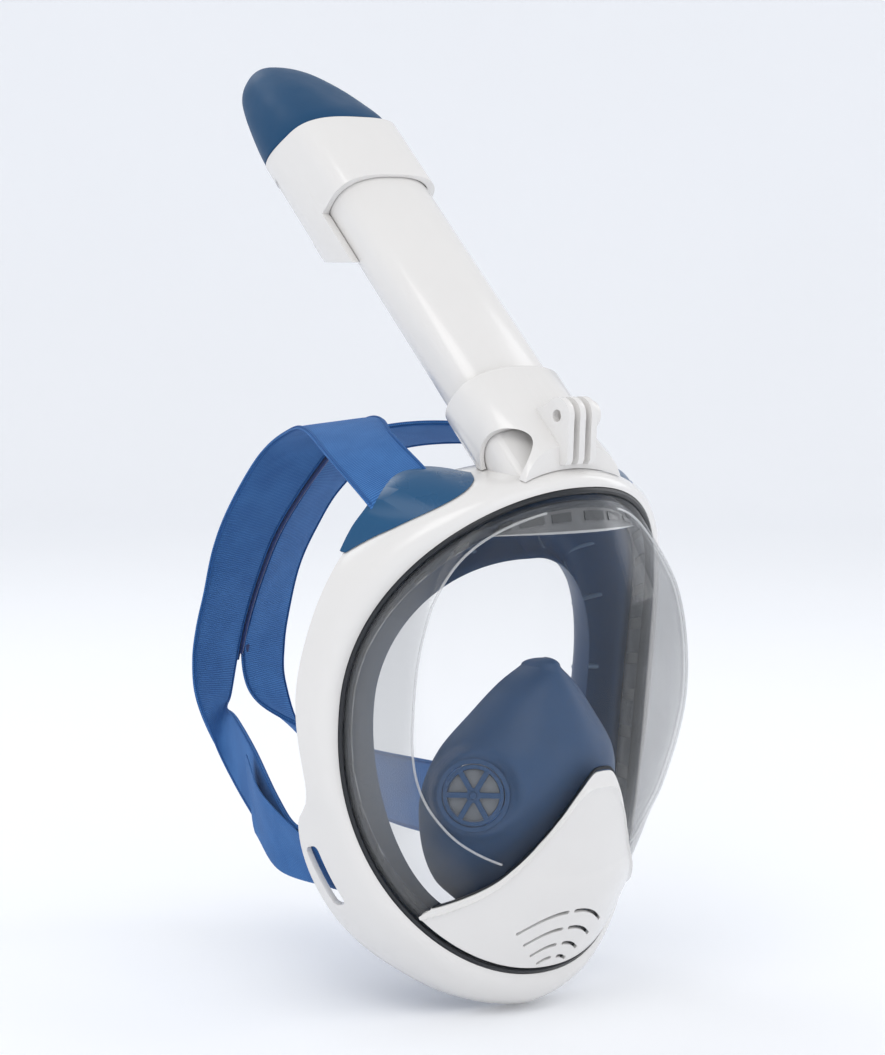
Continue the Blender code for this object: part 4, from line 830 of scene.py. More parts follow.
def skirt_section(angle):
    """Closed section: the clamped bead, the wall back to the face, and the flap in to its edge."""
    turn = abs(math.degrees(math.remainder(angle, 2 * math.pi)))
    bead_front = RIM_DEPTH + GAP + 0.1 * LENS_WALL
    bead_out = -LENS_INSET + 0.0018
    bead_in = -LENS_INSET - LENS_WALL - 0.0030
    bead = [rim_point(angle, bead_in, bead_front), rim_point(angle, bead_out, bead_front),
            rim_point(angle, bead_out, bead_front + BEAD_DEPTH - GAP)]
    lip = radius_of(LIP, angle)
    face = radius_of(FACE, angle)
    edge_y = through([(0, FACE_TOP_Y), (90, FACE_SIDE_Y), (180, FACE_BOTTOM_Y)], turn)
    roll = through([(0, 0.012), (90, 0.017), (180, 0.014)], turn)

    def at(radius, y):
        return Vector((radius * math.sin(angle), y, EYE_Z + radius * math.cos(angle)))

    wall = lip - LENS_INSET - LENS_WALL - 0.0035
    turn_back = edge_y + roll
    bead_y = rim_point(angle, 0, bead_front + BEAD_DEPTH - GAP).y
    t = SKIRT_WALL
    outer = [at(wall + t * 0.9, bead_y), at(wall + 0.3 * t, bead_y + 0.6 * (turn_back - bead_y)),
             at(wall - 0.004, turn_back), at((wall + face) / 2, turn_back + 0.0035),
             at(face + 0.004, turn_back - 0.003), at(face, edge_y)]
    inner = [at(face + t * 0.8, edge_y - t * 0.2), at(face + 0.0055, turn_back - 0.003 - t),
             at((wall + face) / 2, turn_back + 0.0035 - t), at(wall - 0.004 - t, turn_back - t),
             at(wall - 0.8 * t, bead_y + 0.55 * (turn_back - bead_y)), at(wall - 0.3 * t, bead_y)]
    return bead + outer + inner


def clip_station(turn):
    """Front edge, crease (out, back) and rear edge (out, back) of a clip at a clock angle."""
    return [through([(row[0], row[k]) for row in CLIP[::-1]], turn) for k in range(1, len(CLIP[0]))]


def strap_edge_angle(side, edge):
    """Clock angle of the lower strap's edge where it passes the frame: edge is 1 for the lower one."""
    return math.radians(SLOT_ANGLE + edge * STRAP_HALF_TURN) * side


def strap_rear(angle):
    """How far behind the lip the lower strap leaves the frame, at a clock angle."""
    return through(FRAME_DEPTH, abs(math.degrees(angle))) + 0.002


def loop_route(side, edge):
    """The strap's path round its bar, seen in the rim's own directions, from outside the bar to inside it."""
    angle = strap_edge_angle(side, edge)
    rear = strap_rear(angle)
    middle = (rear + BAR_BACK) / 2
    route = [(LOOP_RADIUS, rear), (LOOP_RADIUS, middle)]
    for turn in spread(90, -90, 7):
        bend = math.radians(turn)
        route.append((LOOP_RADIUS * math.sin(bend), BAR_BACK - LOOP_RADIUS * math.cos(bend)))
    route.append((-LOOP_RADIUS, middle))
    return [rim_point(angle, out, back) for out, back in route]


def band_end(side, edge):
    """The end of the band, which lies inside the folded tail and stops just short of it."""
    angle = strap_edge_angle(side, edge)
    rear = strap_rear(angle)
    return [rim_point(angle, -LOOP_RADIUS, back) for back in (rear, (rear + BAR_BACK) / 2 + 0.0006)]


def tube_at(q, h):
    """Front-to-back and height of a point in the tube's frame, seen from the side."""
    point = tube_matrix() @ Vector((0, q, h))
    return point.y, point.z


def fin_solid(low, high):
    """One camera fin: a round end about the bolt hole, on a foot that runs down the collar's front."""
    wall = COLLAR_FRONT_Y + COLLAR_WALL / 2
    inside = -(NECK[2] + COLLAR_GAP + COLLAR_WALL / 2)
    floor = FRAME_TOP_Z + COLLAR_LIFT
    outline = []
    for degrees in spread(195, 35, 40):
        turn = math.radians(degrees)
        outline.append((FIN_Y + FIN_RADIUS * math.cos(turn), FIN_Z + FIN_RADIUS * math.sin(turn)))
    outline += [tube_at(inside, 0.0190), tube_at(inside, -0.0010), (wall, floor + 0.0050), (wall, floor),
                (wall - 0.0045, floor), (wall - 0.0058, floor + 0.0020)]
    return prism([outline], low, high)


def channel(low, high, count):
    """One channel's outline inside the tube, between two widths."""
    half, deep = TUBE[0] - TUBE_WALL, TUBE[1] - TUBE_WALL
    upper = []
    for x in spread(low, high, count):
        share = min(abs(x) / half, 0.997)
        upper.append((x, deep * (1 - share ** SQUARENESS) ** (1 / SQUARENESS)))
    return upper + [(x, -y) for x, y in reversed(upper)]


def top_loop(half, front, back, height, rise=0.0):
    return [Vector((x, y, height + rise * y)) for x, y in oval(half, front, back, TOP_SQUARENESS)]


def top_solid(name, inset):
    """The dry top's body as a solid, or the same shape pulled in by a wall all round."""
    sizes = grown(TOP, -inset)
    joint = JOINT_H + (0.02 if inset else 0.0)
    body = place(name, skin([top_loop(*sizes, 0.120), top_loop(*sizes, joint, JOINT_RISE)]), tube_matrix())
    boolean(body, place(name + "_floor", block((0.2, 0.3, 0.2), (0, 0.1, BOX_BOTTOM_Z + inset - 0.1))))
    step = block((0.1, 0.1, 0.1), (0, BOX_FRONT + inset - 0.05, SHELL_BOTTOM + inset - 0.05))
    return boolean(body, place(name + "_step", step, tube_matrix()))


def cap_loop(half, front, back, height, rise):
    """A level of the cap, whose section may lie wholly behind the tube's axis."""
    middle = (back - front) / 2
    depth = (back + front) / 2
    return [Vector((x, middle + y, height + rise * (middle + y)))
            for x, y in oval(half, depth, depth, SQUARENESS)]


def main_frame():
    shell = place("main_frame_shell", skin([frame_section(a) for a in turns(STEPS_ROUND)], wrap=True))
    neck = straight("neck_stub", NECK, -0.022, NECK_TOP)
    boolean(neck, place("below_neck", block((0.2, 0.2, 0.1), (0, -0.04, FRAME_TOP_Z - 0.0540))))
    boolean(shell, neck, "UNION")
    bore = grown(NECK, -NECK_WALL)
    boolean(shell, straight("neck_bore", bore, -0.002, 0.05))
    well = prism([oval(*bore, SQUARENESS, 72)], FRAME_TOP_Z - 0.010, FRAME_TOP_Z + 0.005)
    boolean(shell, place("neck_well", well, Matrix.Translation((0, -0.0340, 0))))
    for side in (1, -1):
        slot = place("strap_slot", block((SLOT_LENGTH, SLOT_WIDTH, 0.016)), strap_slot_matrix(side))
        soften(slot, 0.0025, 4, 80)
        boolean(shell, slot)
    soften(shell, 0.0006, 3, 50)
    finish(shell, "white", nodes=["main_frame"])


# ---- Lens and what holds it ----
def lens_profile(angle, share):
    """The lens's outer face from its centre (0) over its bend (1) to its rim (2)."""
    bend, edge = lens_limits(angle)
    return lens_point(angle, bend * share if share < 1 else bend + (share - 1) * (edge - bend))


def lens_rounded(angle, share):
    """The same face with its bend rounded over."""
    bend, edge = lens_limits(angle)
    inner, outer = 1 - LENS_ROUND / bend, 1 + min(LENS_ROUND / (edge - bend), 0.8)
    if not inner < share < outer:
        return lens_profile(angle, share)
    t = (share - inner) / (outer - inner)
    ends = [lens_profile(angle, s) for s in (inner, 1.0, outer)]
    return ends[0] * (1 - t) ** 2 + ends[1] * 2 * t * (1 - t) + ends[2] * t * t


def lens():
    angles = turns(STEPS_ROUND)
    shares = spread(0.08, 0.92, 11) + spread(0.94, 1.06, 7) + spread(1.12, 2.0, 12)
    rows = [[lens_point(0.0, 0.0)]] + [[lens_rounded(angle, share) for angle in angles] for share in shares]
    rows.append([rim_point(angle, -LENS_INSET, 0.0012) for angle in angles])
    rows.append([rim_point(angle, -LENS_INSET, RIM_DEPTH) for angle in angles])
    shell = thicken(place("lens_shell", surface(rows, closed=True)), LENS_WALL)
    boolean(shell, place("purge_hole", cylinder(PURGE_RADIUS + GAP, -0.02, 0.01), purge_matrix()))
    finish(shell, "lens_clear", nodes=["lens"], sharp=60)
    # Painted highlight: a thin near-white clear rib along each side of the bend stands in for the light
    # caught on the bend.
    for side, word in ((1, "left"), (-1, "right")):
        sunk = Vector((-0.0006 * side, 0.0006, 0))
        line = [lens_rounded(math.radians(turn) * side, 1.0) + sunk for turn in spread(14, 150, 150)]
        finish(rib("lens_bend_highlight_" + word, line, 0.0005), "clear_edge")


def rim_band(name, look, corners, nodes=(), edge=0.0003, angles=None):
    """A band with a polygon section that follows the frame's lip, all round or between two angles."""
    route = angles or turns(STEPS_ROUND)
    loops = [[rim_point(a, out, back) for out, back in corners] for a in route]
    band = place(name, skin(loops, wrap=angles is None))
    if edge:
        soften(band, edge, 2, 50)
    return finish(band, look, nodes=nodes)


def gasket():
    low, high = -LENS_INSET + GAP, -GAP
    crown = (low + high) / 2
    corners = [(low, 0.0), (low + 0.0005, -0.0006), (crown, -0.0009), (high - 0.0005, -0.0006), (high, 0.0),
               (high, RIM_DEPTH - 0.001), (low, RIM_DEPTH - 0.001)]
    rim_band("lens_gasket_bead", "black", corners, ["lens_gasket"], 0)


def inner_frame():
    """The smoke ring that clamps the skirt, and its lining just inside the lens's rim, with short tabs."""
    start = RIM_DEPTH + BEAD_DEPTH + 2 * GAP
    loops = []
    for angle in turns(STEPS_ROUND):
        room = min(frame_values(angle)[0] - WALL - 0.0022, 0.0050)
        stop = start + RETAINER_DEPTH * 0.5
        inner = -LENS_INSET - LENS_WALL - 0.0015
        loops.append([rim_point(angle, out, back)
                      for out, back in ((inner, start), (room, start), (room, stop), (inner, stop))])
    finish(soften(place("retaining_ring", skin(loops, wrap=True)), 0.0003, 2), "smoke", nodes=["inner_frame"])
    face = -LENS_INSET - LENS_WALL - 0.0004
    lining = [(face, 0.0010), (face, 0.0085), (face - 0.0012, 0.0085), (face - 0.0050, 0.0045),
              (face - 0.0050, 0.0035), (face - 0.0012, 0.0010)]
    rim_band("ring_lining", "smoke", lining)
    for number, turn in enumerate(range(24, 337, 12)):
        if 150 < turn < 210:
            continue
        middle, half = math.radians(turn), math.radians(1.9)
        tab = spread(middle - half, middle + half, 7)
        corners = [(face - 0.0013, 0.0002), (face - 0.0013, 0.0018), (face - 0.0046, 0.0046),
                   (face - 0.0050, 0.0034)]
        rim_band(f"ring_tab_{number:02d}", "duct_window", corners, angles=tab)


def duct_panel():
    inset = LENS_INSET + LENS_WALL + 0.0014
    outline = (LIP[0] - inset, LIP[1] - inset, LIP[2], LIP[3])
    low = DUCT_Z - EYE_Z
    widest = outline[0] * (1 - (low / outline[1]) ** outline[3]) ** (1 / outline[3]) - 0.002

    def grid(left, right, rise_low, rise_high, lift, across, up):
        columns = []
        for x in spread(left, right, across):
            top = EYE_Z + height_of(outline, x)
            columns.append([lens_at(x, DUCT_Z + (top - DUCT_Z) * share, -LENS_WALL - lift)
                            for share in spread(rise_low, rise_high, up)])
        return surface(columns)

    panel = thicken(place("duct_panel", grid(-widest, widest, 0, 1, 0.0022, 65, 9)), DUCT_WALL)
    finish(panel, "duct_grey", nodes=["air_duct_panel"])
    lip = thicken(place("duct_panel_lip", grid(-widest, widest, -0.035, 0.06, 0.0016, 65, 3)), FILM)
    finish(lip, "clear_edge")
    for number, (left, right) in enumerate(DUCT_WINDOWS):
        window = thicken(place(f"duct_window_{number}", grid(left, right, 0.42, 0.78, 0.0016, 7, 4)), FILM)
        finish(window, "duct_window")


# ---- Chin ----
def cover_edge_radius(angle):
    """Distance from the centre to the cover's top edge, halving in on it along the clock angle."""
    low, high = 0.0, radius_of(LIP, angle) - LENS_INSET
    for _ in range(28):
        middle = (low + high) / 2
        x, z = middle * abs(math.sin(angle)), EYE_Z + middle * math.cos(angle)
        low, high = (low, middle) if z < through(COVER_TOP, x) else (middle, high)
    return high


def cover_end():
    """Clock angle at which the cover is only as tall as its blunt upper end."""
    low, high = math.radians(110), math.radians(160)
    for _ in range(28):
        middle = (low + high) / 2
        tall = radius_of(LIP, middle) - LENS_INSET - COVER_INSET - cover_edge_radius(middle) > COVER_TIP
        low, high = (low, middle) if tall else (middle, high)
    return high


def eased(value):
    value = min(max(value, 0.0), 1.0)
    return value * value * (3 - 2 * value)


def chin_cover():
    end = cover_end()
    rows = []
    for share in [0.0, 0.006, 0.014] + spread(0.03, 1, 46):
        row = []
        for angle in spread(end, 2 * math.pi - end, 141):
            limit = radius_of(LIP, angle) - LENS_INSET - COVER_INSET
            start = cover_edge_radius(angle)
            down = share * (limit - start)
            fade = eased((math.cos(angle - math.pi) - 0.72) / 0.10)
            ridge = RIDGE_HEIGHT * math.exp(-((down - RIDGE_DROP) / RIDGE_WIDTH) ** 2) * fade
            rim = 0.0004 * math.exp(-(down / 0.0008) ** 2)
            row.append(lens_point(angle, start + down, COVER_WALL + COVER_GAP + ridge - rim))
        rows.append(row)
    cover = thicken(place("chin_cover_shell", surface(rows)), COVER_WALL)
    for height, reach, droop in SLOT_ROWS:
        for side in (-1, 1):
            boolean(cover, place("vent", prism([slot_outline(height, reach, droop, side)], -0.01, 0.01),
                                 purge_matrix()))
    finish(soften(cover, 0.0004, 2, 55), "white", nodes=["chin_cover"])
    edge = []
    for angle in spread(end, 2 * math.pi - end, 141):
        start = cover_edge_radius(angle)
        edge.append([lens_point(angle, start - 0.0016, 0.0003), lens_point(angle, start - 0.0016, 0.0012),
                     lens_point(angle, start - 0.0004, 0.0012), lens_point(angle, start - 0.0004, 0.0003)])
    finish(place("chin_cover_seal", skin(edge)), "black")


def slot_outline(height, reach, droop, side):
    """A curved vent slot on one side of the middle rib, in the purge valve's frame, where Y is up."""
    line = []
    for share in spread(0, 1, 24):
        line.append((side * (VENT_START + share * reach), height - droop * share * share))
    ends = []
    for (x, y), sweep in ((line[-1], (90, -90)), (line[0], (-90, -270))):
        arc = [math.radians(a) for a in spread(*sweep, 9)][1:-1]
        ends.append([(x + side * VENT_HALF * math.cos(a), y + VENT_HALF * math.sin(a)) for a in arc])
    above = [(x, y + VENT_HALF) for x, y in line]
    below = [(x, y - VENT_HALF) for x, y in reversed(line)]
    return above + ends[0] + below + ends[1]


def valve_cup(name, look, matrix, radius, low, high, floor, nodes):
    """A round wall with a spoked floor between two heights: the seat that a valve's flap lies on."""
    seat = place(name, prism([circle(radius), circle(radius - VALVE_RIM)], low, high), matrix)
    bite = 0.3 * VALVE_RIM
    wheel = prism(spoked_outlines(radius - bite, bite, HUB_RADIUS, SPOKE_WIDTH, SPOKES), *floor)
    boolean(seat, place(name + "_wheel", wheel, matrix), "UNION")
    finish(soften(seat, 0.0003, 2), look, nodes=nodes)


def button(name, look, matrix, radius, low, high, body="mask", nodes=()):
    """A low round stud or disc with a rounded edge."""
    disc = place(name, cylinder(radius, low, high), matrix)
    finish(soften(disc, 0.35 * (high - low), 3), look, body, nodes)


def purge_valve():
    matrix = purge_matrix()
    low = -PURGE_DEPTH - 0.0002
    top = low + WHEEL_WALL + 0.0002
    valve_cup("purge_seat_cup", "valve_grey", matrix, PURGE_RADIUS, low, -0.0012, (low + 0.0002, top),
              ["purge_valve_seat"])
    button("purge_flap_disc", "valve_grey", matrix, PURGE_RADIUS - VALVE_RIM - GAP, top + GAP,
           top + GAP + FLAP_WALL, "purge_flap", ["purge_valve_flap"])


# ---- Nose pocket and its inhale valves ----
def nose_pocket():
    rows = pocket_rows(64, 97)
    top = rows[-1]
    peak = (top[0] + top[-1]) / 2 * 0.45 + top[len(top) // 2] * 0.55
    for turn in spread(math.radians(15), math.radians(86), 8):
        rise = Vector((0, 0, POCKET_DOME * math.sin(turn)))
        rows.append([peak + (point - peak) * math.cos(turn) + rise for point in top])
    pocket = thicken(place("nose_pocket_skin", surface(rows)), POCKET_WALL)
    for side in (1, -1):
        hole = cylinder(INHALE_RADIUS + GAP, -0.008, 0.008)
        boolean(pocket, place("inhale_hole", hole, inhale_matrix(side)))
    finish(soften(pocket, 0.0005, 2, 50), "silicone", nodes=["nose_pocket"])
    for side, word in ((1, "left"), (-1, "right")):
        matrix = inhale_matrix(side)
        high = 0.0008
        wheel = (high - 0.0002 - WHEEL_WALL, high - 0.0002)
        valve_cup("inhale_cup_" + word, "silicone", matrix, INHALE_RADIUS, -INHALE_DEPTH, high, wheel,
                  ["inhale_valve_seat_" + word])
        button("inhale_hub_" + word, "silicone", matrix, 0.0016, high - 0.0001, high + 0.0013)
        top = wheel[0] - GAP
        button("inhale_flap_disc_" + word, "valve_grey", matrix, INHALE_RADIUS - VALVE_RIM - GAP,
               top - FLAP_WALL, top, "inhale_flap_" + word, ["inhale_valve_flap_" + word])
        lip = [circle(INHALE_RADIUS + 0.0026), circle(INHALE_RADIUS + GAP + 0.0001)]
        ring = place("inhale_lip_" + word, prism(lip, 0.0001, 0.0011), matrix)
        finish(soften(ring, 0.0004, 3), "silicone")


# ---- Skirt ----
def face_skirt():
    loops = [skirt_section(angle) for angle in turns(STEPS_ROUND)]
    skirt = place("face_skirt_skin", skin(loops, wrap=True))
    settle(skirt)
    smooth = skirt.modifiers.new("soft", "SUBSURF")
    smooth.levels = smooth.render_levels = 1
    finish(skirt, "silicone", nodes=["face_skirt"], sharp=70)
    for number, turn in enumerate(SKIRT_RIBS):
        route = smooth_route(skirt_line(math.radians(turn))[1:-1], 24)
        finish(rib(f"skirt_rib_{number:02d}", route, SKIRT_RIB_RADIUS), "silicone_rib")
    brow_rib()


def skirt_line(angle):
    """The skirt's inner face at a clock angle, from the bead to the face edge."""
    return skirt_section(angle)[9:][::-1]


def rib(name, route, radius):
    """A raised round-topped line along a route of points."""
    curve = bpy.data.curves.new(name, "CURVE")
    curve.dimensions = "3D"
    curve.bevel_depth = radius
    curve.bevel_resolution = 3
    curve.use_fill_caps = True
    spline = curve.splines.new("POLY")
    spline.points.add(len(route) - 1)
    for point, place_at in zip(spline.points, route):
        point.co = (*place_at, 1)
    obj = bpy.data.objects.new(name, curve)
    bpy.context.scene.collection.objects.link(obj)
    mesh = bpy.data.meshes.new_from_object(obj.evaluated_get(bpy.context.evaluated_depsgraph_get()))
    bpy.data.objects.remove(obj)
    made = bpy.data.objects.new(name, mesh)
    bpy.context.scene.collection.objects.link(made)
    return made


def smooth_route(points, count):
    knots = [(k / (len(points) - 1), Vector(point)) for k, point in enumerate(points)]
    return [through(knots, t) for t in spread(0, 1, count)]


def brow_rib():
    route = []
    for share in spread(-1, 1, 60):
        angle = math.radians(34 * share)
        line = smooth_route(skirt_line(angle), 20)
        route.append(line[9 + round(1.4 * math.cos(9 * share))])
    smoothed = []
    for k in range(len(route)):
        near = route[max(k - 2, 0):k + 3]
        smoothed.append(sum(near, Vector()) / len(near))
    finish(rib("skirt_brow_rib", smoothed, BROW_RIB_RADIUS), "silicone_rib")


# ---- Strap clips ----
def upper_clip(side, word):
    loops = []
    for turn in spread(CLIP[0][0], CLIP[-1][0], 97):
        angle = math.radians(turn) * side
        front, crease_out, crease_back, rear_out, rear_back = clip_station(turn)

        def on_frame(back):
            return rim_point(angle, frame_out(angle, back) + GAP * 1.6, back)

        loop = [on_frame(front), rim_point(angle, crease_out, crease_back),
                rim_point(angle, rear_out, rear_back)]
        loop += [on_frame(rear_back + (front - rear_back) * k / 16) for k in range(16)]
        loops.append(loop)
    clip = place("strap_clip_" + word, skin(loops))
    finish(soften(clip, 0.0007, 3, 28), "blue_gloss", nodes=["upper_strap_clip_" + word], sharp=30)


# ---- Strap ----
def ribbon(name, outer, inner, nodes, rests_on, steps=220, across=12):
    """A woven band between two edges, each a smooth curve through its points, with a weave map in metres."""
    edges = [smooth_route(route, steps) for route in (outer, inner)]
    middle = [(a + b) / 2 for a, b in zip(*edges)]
    lengths = [0.0]
    for a, b in zip(middle, middle[1:]):
        lengths.append(lengths[-1] + (b - a).length)
    bm = bmesh.new()
    uv = bm.loops.layers.uv.new("weave")
    sides = {}
    area = 0.0
    for face in (1, -1):
        grid = []
        for k in range(steps):
            ahead, behind = min(k + 1, steps - 1), max(k - 1, 0)
            along, width = middle[ahead] - middle[behind], edges[1][k] - edges[0][k]
            lift = along.cross(width).normalized() * face * STRAP_WALL / 2
            row = []
            for j in range(across + 1):
                share = j / across
                thin = 0.35 + 0.65 * min(1.0, 7 * min(share, 1 - share)) ** 0.5
                row.append(bm.verts.new(edges[0][k].lerp(edges[1][k], share) + lift * thin))
            grid.append(row)
        sides[face] = grid
        for k in range(steps - 1):
            for j in range(across):
                quad = [(k, j), (k + 1, j), (k + 1, j + 1), (k, j + 1)]
                made = bm.faces.new([grid[a][b] for a, b in (quad if face == 1 else quad[::-1])])
                for loop, (a, b) in zip(made.loops, quad if face == 1 else quad[::-1]):
                    width = (edges[1][a] - edges[0][a]).length
                    loop[uv].uv = ((b / across - 0.5) * width, lengths[a])
                if face == 1:
                    area += made.calc_area()
    border = [(k, 0) for k in range(steps)] + [(steps - 1, j) for j in range(1, across + 1)]
    border += [(k, across) for k in range(steps - 2, -1, -1)] + [(0, j) for j in range(across - 1, 0, -1)]
    for first, second in zip(border, border[1:] + border[:1]):
        corners = [(1, second), (1, first), (-1, first), (-1, second)]
        made = bm.faces.new([sides[face][a][b] for face, (a, b) in corners])
        for loop, (face, (a, b)) in zip(made.loops, corners):
            width = (edges[1][a] - edges[0][a]).length
            loop[uv].uv = ((b / across - 0.5) * width + face * 0.0006, lengths[a])
    bmesh.ops.recalc_face_normals(bm, faces=bm.faces)
    band = finish(place(name, bm), "webbing", nodes=nodes, sharp=80)


def offset_line(outer, inner, share, lift, first, last, count):
    """A line on a ribbon's face: share is how far across it runs, lift how far it stands off the middle."""
    edges = [smooth_route(route, 221) for route in (outer, inner)]
    line = []
    for t in spread(first * 220, last * 220, count):
        k = min(max(int(round(t)), 1), 219)
        along = (edges[0][k + 1] + edges[1][k + 1]) - (edges[0][k - 1] + edges[1][k - 1])
        across = edges[1][k] - edges[0][k]
        line.append(edges[0][k].lerp(edges[1][k], share) + along.cross(across).normalized() * lift)
    return line


def stitches(name, line):
    """A row of stitches along a line, as one piece."""
    total = sum((b - a).length for a, b in zip(line, line[1:]))
    pitch = STITCH_LENGTH + STITCH_GAP
    count = int(total / pitch)
    pieces = []
    for k in range(count):
        start, stop = k / count, (k + STITCH_LENGTH / pitch) / count
        route = [line_at(line, start + (stop - start) * t) for t in (0.0, 0.15, 0.5, 0.85, 1.0)]
        pieces.append(rib("stitch", route, STITCH_RADIUS))
    return joined(name, pieces)


def line_at(line, share):
    k = share * (len(line) - 1)
    low = min(int(k), len(line) - 2)
    return line[low].lerp(line[low + 1], k - low)


def joined(name, objects):
    bm = bmesh.new()
    for obj in objects:
        bm.from_mesh(obj.data)
        bpy.data.objects.remove(obj)
    return place(name, bm)


def strap():
    for side, word, outer, inner, tail in ((-1, "right", BAND_RIGHT_OUTER, BAND_RIGHT_INNER, TAIL_RIGHT),
                                           (1, "left", BAND_LEFT_OUTER, BAND_LEFT_INNER, TAIL_LEFT)):
        tucked = [[(side * x, y, z) for x, y, z in points] for points in CLIP_END]
        outer = tucked[0] + outer[1:] + band_end(side, 1)
        inner = tucked[1] + inner[1:] + band_end(side, -1)
        ribbon("woven_band_" + word, outer, inner, ["strap_band_" + word],
               ["strap_clip_" + word, "main_frame_shell"])
        edges = [points + loop_route(side, edge) for points, edge in zip(tail, (1, -1))]
        ribbon("woven_tail_" + word, *edges, ["strap_tail_" + word], ["main_frame_shell"], steps=120)
        # A cord runs along both edges, on each face of the strap
        for share in (0.035, 0.965):
            for lift in (1, -1):
                name = f"edge_cord_{word}_{share:.2f}_{lift}".replace("0.", "").replace("-", "m")
                line = offset_line(outer, inner, share, lift * (STRAP_WALL / 2 - 0.0001), 0.03, 0.93, 200)
                finish(rib(name, line, CORD_RADIUS), "webbing")
    seam()


def seam():
    """The stitching that joins the band's two halves down the back of the head."""
    knots = [(0.0, y, z) for _, y, z in BAND_RIGHT_INNER[4:10]]
    line = smooth_route(knots, 160)
    outward = []
    for k, point in enumerate(line):
        along = line[min(k + 1, 159)] - line[max(k - 1, 0)]
        out = Vector((1, 0, 0)).cross(along).normalized()
        outward.append(point + (out if out.y > 0 else -out) * (STRAP_WALL / 2 + 0.0002))
    for offset in (-SEAM_HALF, SEAM_HALF):
        row = [point + Vector((offset, 0, 0)) for point in outward]
        finish(stitches(f"seam_stitches_{'left' if offset > 0 else 'right'}", row), "thread")
    inside = [point * 2 - out for point, out in zip(line, outward)]
    for name, route in (("seam_cord_out", outward), ("seam_cord_in", inside)):
        finish(rib(name, route, SEAM_CORD_RADIUS), "thread")
    for number, centre in enumerate((outward[4], outward[-3])):
        bars = []
        ends = (outward[-8], outward[-1]) if number else (outward[0], outward[8])
        along = (ends[1] - ends[0]).normalized()
        for shift in spread(-0.0045, 0.0045, 9):
            middle = centre + along * shift * 0.35
            bar = [middle + Vector((x, 0, 0)) for x in (-TACK_HALF, 0.0, TACK_HALF)]
            bars.append(rib("bar", bar, TACK_RADIUS))
        for x in (-0.0008, 0.0, 0.0008):
            bar = [centre + Vector((x, 0, 0)) + along * y for y in (-TACK_HALF, TACK_HALF)]
            bars.append(rib("bar", bar, TACK_RADIUS))
        finish(joined(f"bar_tack_{number}", bars), "thread")


# ---- Snorkel ----
def collar():
    outside = grown((NECK[0], NECK[2], NECK[2]), COLLAR_GAP + COLLAR_WALL)
    levels = [(-0.030, 0), (COLLAR_TOP - COLLAR_EDGE, 0),
              (COLLAR_TOP - 0.4 * COLLAR_EDGE, -0.35 * COLLAR_EDGE), (COLLAR_TOP, -COLLAR_EDGE)]
    loops = [tube_loop(*grown(outside, ease), height) for height, ease in levels]
    body = place("snorkel_collar_shell", skin(loops), tube_matrix())
    boolean(body, place("before_collar", block((0.2, 0.1, 0.3), (0, COLLAR_FRONT_Y - 0.05, 0.1))))
    for number in (-1, 0, 1):
        middle = number * FIN_PITCH
        fin = fin_solid(middle - FIN_WALL / 2, middle + FIN_WALL / 2)
        boolean(body, place(f"fin_{number}", fin, SIDEWAYS), "UNION")
    far = FIN_PITCH + FIN_WALL / 2
    hole = Matrix.Translation((0, FIN_Y, FIN_Z)) @ TURN_TO_X
    boss = cylinder(NUT_RADIUS + NUT_WALL, far - 0.0005, far + NUT_THICKNESS)
    boolean(body, place("nut_boss", boss, hole), "UNION")
    boolean(body, straight("collar_bore", grown(NECK, COLLAR_GAP), -0.05, TUBE_BOTTOM - GAP))
    boolean(body, straight("tube_socket", grown(TUBE, GAP), 0.032, 0.06))
    boolean(body, place("frame_below", frame_envelope(COLLAR_LIFT)))
    boolean(body, place("below_collar", block((0.2, 0.2, 0.1), (0, -0.04, FRAME_TOP_Z - COLLAR_DROP - 0.05))))
    floor = FRAME_TOP_Z + COLLAR_LIFT
    arch = [(ARCH_Y + ARCH_HALF * math.cos(a), floor + ARCH_HEIGHT * math.sin(a)) for a in turns(96)]
    boolean(body, place("side_arch", prism([arch], -0.05, 0.05), SIDEWAYS))
    boolean(body, place("fin_hole", cylinder(FIN_HOLE, -0.02, 0.02), hole))
    boolean(body, place("nut_pocket", cylinder(NUT_RADIUS + GAP, far, far + 0.01, 6), hole))
    finish(soften(body, 0.0006, 3, 40), "white", "snorkel", ["snorkel_collar"])


def tube():
    wall = CHANNEL_WALL / 2
    half = TUBE[0] - TUBE_WALL
    channels = [channel(-CHANNEL_HALF + wall, CHANNEL_HALF - wall, 33),
                channel(CHANNEL_HALF + wall, half * 0.997, 25),
                channel(-half * 0.997, -CHANNEL_HALF - wall, 25)]
    outlines = [oval(*TUBE, SQUARENESS)] + channels
    shaft = place("snorkel_shaft", prism(outlines, TUBE_BOTTOM, TUBE_TOP), tube_matrix())
    finish(soften(shaft, 0.0004, 2, 50), "white", "snorkel", ["snorkel_tube"])


# ---- Dry top ----
def dry_top():
    body = top_solid("drytop_shell", 0.0)
    boolean(body, top_solid("drytop_cavity", TOP_WALL))
    boolean(body, straight("tube_passage", grown(TUBE, GAP), 0.11, 0.19))
    width, height = REAR_WINDOW
    window = block((width, 0.020, height), (0, TOP[2], REAR_WINDOW_H))
    boolean(body, place("rear_window", window, tube_matrix()))
    outlet = Matrix.Translation((0, tube_at(0.0235, 0.146)[0], BOX_BOTTOM_Z))
    boolean(body, place("outlet", cylinder(OUTLET_RADIUS, -0.01, 0.01), outlet))
    finish(soften(body, 0.0010, 4, 40), "white", "snorkel", ["drytop_housing"])
    rear_cover(width, height)
    cap()


